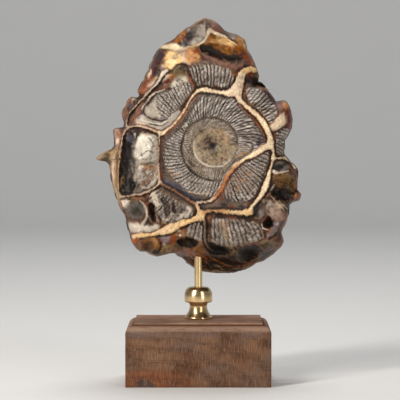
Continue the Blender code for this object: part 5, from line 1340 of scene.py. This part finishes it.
def stoneFinish():
    web = Finish("veined stone")
    tint = web.attribute("tint", "Color")
    gloss = web.attribute("gloss")
    vein = web.attribute("vein")
    coarse = web.attribute("coarse")
    cavity = web.attribute("cavity")
    blotch = web.noise(web.place, stone["blotchSize"], 4.0, 0.6)
    dust = web.noise(web.place, stone["dustSize"], 4.0, 0.65)
    shelter = web.attribute("shelter")
    speck = web.noise(web.place, stone["speckSize"], 2.0, 0.5)
    # less pale speck and ridge colour in recesses, part of the painted shade
    openToLight = 1.0 - web.between(shelter, 0.0, 0.5) * 0.6
    worn = web.between(cavity, -0.15, -0.9) * web.between(dust, 0.3, 0.6)
    shade = web.blend(web.between(blotch, 0.5, 0.7) * (0.35 - gloss * 0.25), tint, solid("umber"), "MULTIPLY")
    shade = web.blend(web.between(dust, 0.5, 0.3) * 0.25, shade, solid("cream"), "SOFT_LIGHT")
    shade = web.coats(shade, [
        (web.between(speck, 0.58, 0.7) * (0.2 + coarse * 0.5), solid("groove")),
        (web.between(speck, 0.42, 0.3) * (0.12 + coarse * 0.4) * (1.0 - gloss * 0.6) * openToLight, solid("bone")),
        # groove over crevices and broad recesses: painted shade
        (web.between(cavity, 0.1, 1.0) * 0.5, solid("groove")),
        (web.between(shelter, 0.0, 1.0) * (0.6 - gloss * 0.2), solid("groove")),
        (worn * 0.25 * openToLight, solid("bone")),
    ])
    fine = web.noise(web.place, stone["fineSize"], 3.0, 0.6)
    rough = stone["roughness"] - gloss * 0.3 + (fine - 0.5) * 0.3
    matt = 1.0 - gloss * 0.8
    grainBump = web.bump(web.noise(web.place, 900.0, 5.0, 0.65) * matt, 0.0006, 0.6)
    normal = web.bump(fine * matt, 0.0002, 0.5, grainBump)
    return web.shade({"IOR": 1.5, "Coat Roughness": 0.25, "Specular IOR Level": 0.22},
                     {"Base Color": shade, "Roughness": rough, "Coat Weight": gloss * 0.18 + vein * 0.06,
                      "Normal": normal})


stonePiece = settle(makeStone(), reliefTree(stoneFinish()), relief)
addCavity(stonePiece)
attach(stonePiece, "root")
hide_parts("fossil")
triangles = sum(len(face.vertices) - 2 for face in stonePiece.data.polygons)
print("stone:", len(stonePiece.data.vertices), "points,", triangles, "triangles")


# Brass rod and turned collar
brass = {
    "rodSides": 64, "rodRings": 40, "rodEase": 0.3, "sides": 144, "steps": 16, "ease": 0.35, "boreGap": 0.1,
    "footEdge": 1.5, "flareCurve": 1.3, "waist": 7.0, "waistHeight": 10.3, "neck": 7.8, "neckHeight": 12.3,
    "knobInset": 0.1, "knobBottom": 13.1, "knobStraight": 4.6, "knobTop": 6.5, "lip": 1.0,
    "bright": (0.84, 0.64, 0.36, 1.0), "dull": (0.68, 0.48, 0.24, 1.0), "tarnish": (0.3, 0.17, 0.06, 1.0),
    "turnedLines": (60.0, 60.0, 2600.0), "drawnLines": (2400.0, 2400.0, 30.0), "roughness": 0.16,
}


def brassFinish(name, lines):
    web = Finish(name)
    smear = web.grain(lines, 3.0, 0.6)
    cloud = web.noise(web.place, 90.0, 3.0, 0.55)
    shade = web.blend(web.between(cloud, 0.35, 0.7), brass["bright"], brass["dull"])
    spots = web.between(web.noise(web.place, 700.0, 2.0), 0.64, 0.74)
    shade = web.blend(spots * 0.35, shade, brass["tarnish"])
    rough = brass["roughness"] + cloud * 0.08 + smear * 0.08
    normal = web.bump(smear, 0.00006, 0.8)
    return web.shade({"Metallic": 1.0}, {"Base Color": shade, "Roughness": rough, "Normal": normal})


# A turned ring from its closed half section
def turned(name, section, sides, material):
    return makePiece(name, spun(section, sides), bridged(len(section), sides, closed=True), material)


def makeCollar(material):
    low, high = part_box("collar")
    bottom, height, foot = low.z / mm, (high.z - low.z) / mm, high.x / mm
    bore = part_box("rod")[1].x / mm + brass["boreGap"]
    ease, lip, waist, neck = brass["ease"], brass["lip"], brass["waist"], brass["neck"]
    footEdge, neckHeight, knobBottom, knobTop = (
        brass[key] for key in ("footEdge", "neckHeight", "knobBottom", "knobTop"))
    section = [(bore, 0.0), (foot - ease, 0.0), (foot, ease), (foot, footEdge - ease),
               (foot - ease, footEdge)]
    flare = brass["waistHeight"] - footEdge
    for turn in quarter(brass["steps"]):
        spread = (foot - ease - waist) * (1 - math.sin(turn)) ** brass["flareCurve"]
        section.append((waist + spread, footEdge + flare * turn / math.radians(90)))
    widest = foot - brass["knobInset"]
    section += [(neck - 0.15, neckHeight - 0.3), (neck, neckHeight), (neck, knobBottom - 0.1),
                (neck + 0.2, knobBottom), (widest - lip, knobBottom)]
    section += [(widest - lip * (1 - math.sin(turn)), knobBottom + lip * (1 - math.cos(turn)))
                for turn in quarter(4)]
    shoulder = knobBottom + brass["knobStraight"]
    for turn in [0.0, *quarter(brass["steps"])]:
        section.append((knobTop + (widest - knobTop) * math.cos(turn),
                        shoulder + (height - shoulder) * math.sin(turn)))
    section.append((bore, height))
    section = [(radius, bottom + level) for radius, level in section]
    return turned("collarTurned", section, brass["sides"], material)


# The middle of each end has a pinhole, so that the section closes on itself
def makeRod(material):
    low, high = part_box("rod")
    radius, bottom, top, pinhole, ease = high.x / mm, low.z / mm, high.z / mm, 0.02, brass["rodEase"]
    section = [(pinhole, bottom), (radius - ease, bottom)]
    section += [(radius, height) for height in np.linspace(bottom + ease, top - ease, brass["rodRings"])]
    section += [(radius - ease, top), (pinhole, top)]
    return turned("rodPolished", section, brass["rodSides"], material)


collarPiece = makeCollar(brassFinish("turned brass", brass["turnedLines"]))
rodPiece = makeRod(brassFinish("drawn brass", brass["drawnLines"]))
for piece, node in ((collarPiece, "collar"), (rodPiece, "rod")):
    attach(piece, "root")
    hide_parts(node)
print("brass rod and collar")


# Wooden block with a raised top and a quarter-round edge
block = {
    "topStep": 2.3, "edgeRadius": 6.4, "cornerRadius": 1.2, "cornerSteps": 5, "spacing": 1.1, "ease": 0.35,
    "sideRings": 37, "curveSteps": 10, "topRings": 17, "sawDepth": 0.16, "chipDepth": 0.7,
    "knot": (-40.5, 1.5), "underInsets": (30.0, 20.0, 10.0, 4.0, 1.2),
}
block["sideTop"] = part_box("base")[1].z / mm - block["topStep"] - block["edgeRadius"]
wood = {
    "dark": (0.1, 0.043, 0.021, 1.0), "light": (0.195, 0.1, 0.055, 1.0), "grey": (0.13, 0.088, 0.068, 1.0),
    "line": (0.045, 0.02, 0.011, 1.0), "red": (0.15, 0.042, 0.017, 1.0), "orange": (0.28, 0.095, 0.03, 1.0),
    "knot": (0.045, 0.036, 0.034, 1.0), "sawn": (0.28, 0.17, 0.11, 1.0), "violet": (0.13, 0.1, 0.1, 1.0),
    "pale": (0.4, 0.27, 0.2, 1.0),
    "fibres": (80.0, 900.0, 1300.0), "sawMarks": (1300.0, 1300.0, 150.0), "streaks": (14.0, 220.0, 60.0),
    "growthRows": 700.0, "patchSize": 42.0, "roughness": 0.74,
}


# One level of the block, with as many places along each side and round each corner as any other level
def blockRing(halfWidth, halfDepth, inset, height, across, deep):
    corner = max(0.3, block["cornerRadius"] - inset * 0.1)
    halfWidth, halfDepth = halfWidth - inset, halfDepth - inset
    corner = min(corner, halfWidth * 0.9, halfDepth * 0.9)
    flatWidth, flatDepth = halfWidth - corner, halfDepth - corner
    ring = []
    sides = (((-flatWidth, -halfDepth), (flatWidth, -halfDepth), across, -90),
             ((halfWidth, -flatDepth), (halfWidth, flatDepth), deep, 0),
             ((flatWidth, halfDepth), (-flatWidth, halfDepth), across, 90),
             ((-halfWidth, flatDepth), (-halfWidth, -flatDepth), deep, 180))
    for start, end, count, facing in sides:
        for step in range(count):
            share = step / (count - 1)
            ring.append((start[0] + (end[0] - start[0]) * share,
                         start[1] + (end[1] - start[1]) * share, height))
        out = math.radians(facing)
        middle = (end[0] - corner * math.cos(out), end[1] - corner * math.sin(out))
        for step in range(1, block["cornerSteps"]):
            turn = out + math.radians(90 * step / block["cornerSteps"])
            ring.append((middle[0] + corner * math.cos(turn), middle[1] + corner * math.sin(turn), height))
    return ring


def makeBlock(material):
    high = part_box("base")[1]
    halfWidth, halfDepth, height = high.x / mm, high.y / mm, high.z / mm
    stepBottom = height - block["topStep"]
    sideTop, edgeRadius, ease = block["sideTop"], block["edgeRadius"], block["ease"]
    profile = [(inset, 0.0) for inset in block["underInsets"]]
    profile += [(ease, 0.0), (0.0, ease)]
    profile += [(0.0, level) for level in np.linspace(1.2, sideTop, block["sideRings"])]
    profile += [(edgeRadius * (1 - math.cos(turn)), sideTop + edgeRadius * math.sin(turn))
                for turn in quarter(block["curveSteps"])]
    profile += [(edgeRadius + inset, level) for inset, level in (
        (0.05, stepBottom + 0.1), (0.1, stepBottom + 1.0), (0.1, height - 0.5), (0.25, height - 0.15),
        (0.6, height), (1.4, height))]
    profile += [(inset, height)
                for inset in np.linspace(edgeRadius + 2.6, halfDepth - 2.0, block["topRings"])]
    across, deep = round(halfWidth / block["spacing"]), round(halfDepth / block["spacing"])
    places = []
    for inset, level in profile:
        places += blockRing(halfWidth, halfDepth, inset, level, across, deep)
    count = len(places) // len(profile)
    last = len(places) - count
    faces = [tuple(reversed(range(count))), *bridged(len(profile), count), tuple(range(last, last + count))]
    places = np.array(places)

    # Saw marks on the sides, long grain on the top, and small chips along the edges
    piece = makePiece("block", places, faces, material)
    normals = np.zeros(len(places) * 3)
    piece.data.vertices.foreach_get("normal", normals)
    normals = normals.reshape(-1, 3)
    aroundSides = np.where(np.abs(normals[:, 0]) > np.abs(normals[:, 1]), places[:, 1], places[:, 0])
    upright = 1.0 - rise(0.3, 0.8, np.abs(normals[:, 2]))
    saw = ripple(np.stack([aroundSides / 0.9, places[:, 2] / 30.0], axis=1), 1.0, 31)
    saw += 0.6 * ripple(np.stack([aroundSides / 3.0, places[:, 2] / 60.0], axis=1), 1.0, 37)
    grain = ripple(np.stack([places[:, 0] / 26.0, places[:, 1] / 1.3 + places[:, 2]], axis=1), 1.0, 41)
    depth = block["sawDepth"] * ((0.6 + 0.5 * saw) * upright + (0.4 + 0.4 * grain) * (1.0 - upright))
    edgeLine = np.minimum(np.abs(places[:, 2] - height), places[:, 2])
    cornerGap = np.hypot(halfWidth - np.abs(places[:, 0]), halfDepth - np.abs(places[:, 1]))
    worn = rise(2.2, 0.2, np.minimum(edgeLine + 6.0 * (1.0 - upright), cornerGap))
    chips = rise(0.15, 0.7, layered(np.stack([aroundSides, places[:, 2]], axis=1), 5.0, 51))
    depth += block["chipDepth"] * worn * chips
    depth[places[:, 2] < 0.2] = 0.0             # the underside stays flat
    moved = (places - normals * np.clip(depth, 0.0, None)[:, None]) * mm
    piece.data.vertices.foreach_set("co", moved.ravel())
    piece.data.update()
    return piece


def woodFinish():
    web = Finish("weathered wood")
    x, _, z = web.apart(web.place)

    # Growth lines arch over the knot low on the left
    wavy = web.grain((22.0, 30.0, 40.0), 4.0, 0.55)
    besideKnot = (x - block["knot"][0] * mm) * 0.34
    overKnot = z - block["knot"][1] * mm
    arch = (besideKnot * besideKnot + overKnot * overKnot) ** 0.5
    rows = arch * wood["growthRows"] + wavy * 14.0
    lines = web.node("ShaderNodeMath", {"operation": "SINE"}, {0: rows}) * 0.5 + 0.5
    fibre = web.grain(wood["fibres"])
    sawn = web.grain(wood["sawMarks"], 4.0, 0.7)
    patchy = web.noise(web.place, wood["patchSize"], 5.0, 0.65)
    grey = web.grain((30.0, 30.0, 60.0), 4.0, 0.6)
    streaks = web.grain(wood["streaks"], 5.0, 0.7)
    near = web.between(arch, 0.017, 0.006)
    knot = web.between(arch + (patchy - 0.5) * 0.016, 0.0038, 0.0022)

    # Round the top: grey under the curve, pale on it as a painted highlight where it faces up, orange and a
    # dark line at the step
    level = block["sideTop"] * mm
    step = level + block["edgeRadius"] * mm
    low = web.between(z, level - 0.004, level - 0.001) * web.between(z, level + 0.0035, level + 0.001)
    curve = web.between(z, level + 0.001, level + 0.004)
    foot = web.between(z, step - 0.0004, step) * web.between(z, step + 0.0012, step + 0.0006)
    top = web.between(z, step + 0.0008, step + 0.0014)
    shade = web.blend(web.between(patchy, 0.35, 0.65), wood["dark"], wood["light"])
    shade = web.coats(shade, [
        (web.between(grey, 0.5, 0.68) * 0.6, wood["grey"]),
        (web.between(lines, 0.3, 1.0) * web.between(fibre, 0.35, 0.6) * 0.5, wood["line"]),
        (near * web.between(patchy, 0.3, 0.55) * 0.8, wood["red"]),
        (near * web.between(fibre + lines * 0.2, 0.55, 0.72) * 0.7, wood["orange"]),
        (knot * 0.85, wood["knot"]),
        (web.between(sawn, 0.52, 0.66) * 0.6, wood["sawn"]),
        (web.between(sawn, 0.48, 0.34) * 0.55, wood["line"]),
        (low * web.between(patchy, 0.35, 0.7) * 0.5, wood["violet"]),
        # pale on the upper curve: painted highlight
        (curve * web.between(fibre, 0.3, 0.5) * 0.6, wood["pale"]),
        (web.between(z, step - 0.0012, step - 0.0003) * 0.6 * web.between(sawn, 0.35, 0.55), wood["orange"]),
        (foot * 0.85, wood["line"]),
        (top * web.between(patchy, 0.4, 0.6) * 0.5, wood["pale"]),
        (top * web.between(streaks, 0.5, 0.62) * 0.7, wood["grey"]),
        (top * web.between(streaks, 0.5, 0.38) * 0.5, wood["line"]),
    ])
    rough = wood["roughness"] + (fibre - 0.5) * 0.25
    coarse = web.bump(sawn, 0.0006, 0.7)
    normal = web.bump(fibre + lines * 0.3, 0.0003, 0.6, coarse)
    return web.shade({"Specular IOR Level": 0.2}, {"Base Color": shade, "Roughness": rough, "Normal": normal})


blockPiece = makeBlock(woodFinish())
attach(blockPiece, "root")
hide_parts("base")
print("wooden block")


# Pale floor that curves up into a wall all round, and soft lights, in metres
studio = {
    "floorRadius": 2.6, "wallRadius": 3.6, "wallHeight": 3.0, "sides": 96, "curveSteps": 12,
    "pale": (0.72, 0.72, 0.72, 1.0), "shaded": (0.55, 0.55, 0.55, 1.0),
    "sky": (0.95, 0.97, 1.0, 1.0), "skyStrength": 0.06,
}
lights = [
    {"name": "key", "place": (-0.9, -1.0, 0.9), "aim": (0, 0, 0.17), "size": (0.16, 1.3),
     "watts": 24.0, "warmth": (1.0, 0.95, 0.88)},
    {"name": "strip", "place": (0.8, -1.1, 0.45), "aim": (0, 0, 0.14), "size": (0.1, 1.3),
     "watts": 6.0, "warmth": (1.0, 0.96, 0.9)},
    {"name": "top", "place": (0.1, 0.3, 1.5), "aim": (0, 0, 0.17), "size": (0.6, 0.6),
     "watts": 10.0, "warmth": (1.0, 0.98, 0.95)},
    {"name": "wall", "place": (0.0, 1.0, 2.2), "aim": (0, 3.6, 0.4), "size": (2.0, 0.6),
     "watts": 26.0, "warmth": (0.98, 0.99, 1.0)},
]


def makeFloor():
    web = Finish("pale floor")
    shade = web.blend(web.noise(web.place, 3.0, 2.0) * 0.08, studio["pale"], studio["shaded"])
    material = web.shade({"Roughness": 0.7, "Specular IOR Level": 0.2}, {"Base Color": shade})
    bend = studio["wallRadius"] - studio["floorRadius"]
    section = [(radius, 0.0) for radius in (0.0001, 0.5, 1.2, 2.0, studio["floorRadius"])]
    section += [(studio["floorRadius"] + bend * math.sin(turn), bend * (1 - math.cos(turn)))
                for turn in quarter(studio["curveSteps"])]
    section.append((studio["wallRadius"], studio["wallHeight"]))
    faces = [tuple(reversed(face)) for face in bridged(len(section), studio["sides"])]
    makePiece("floor", spun(section, studio["sides"]) / mm, faces, material)


def makeLights():
    world = bpy.data.worlds.new("studio")
    bpy.context.scene.world = world
    world.use_nodes = True
    sky = world.node_tree.nodes["Background"]
    sky.inputs["Color"].default_value = studio["sky"]
    sky.inputs["Strength"].default_value = studio["skyStrength"]
    for lamp in lights:
        data = bpy.data.lights.new(lamp["name"], "AREA")
        data.shape = "RECTANGLE"
        data.size, data.size_y = lamp["size"]
        data.energy = lamp["watts"]
        data.color = lamp["warmth"]
        item = bpy.data.objects.new(lamp["name"], data)
        item.location = lamp["place"]
        facing = Vector(lamp["aim"]) - Vector(lamp["place"])
        item.rotation_euler = facing.to_track_quat("-Z", "Y").to_euler()
        bpy.context.scene.collection.objects.link(item)
    bpy.context.scene.view_settings.view_transform = "Standard"


makeFloor()
makeLights()
print("studio")
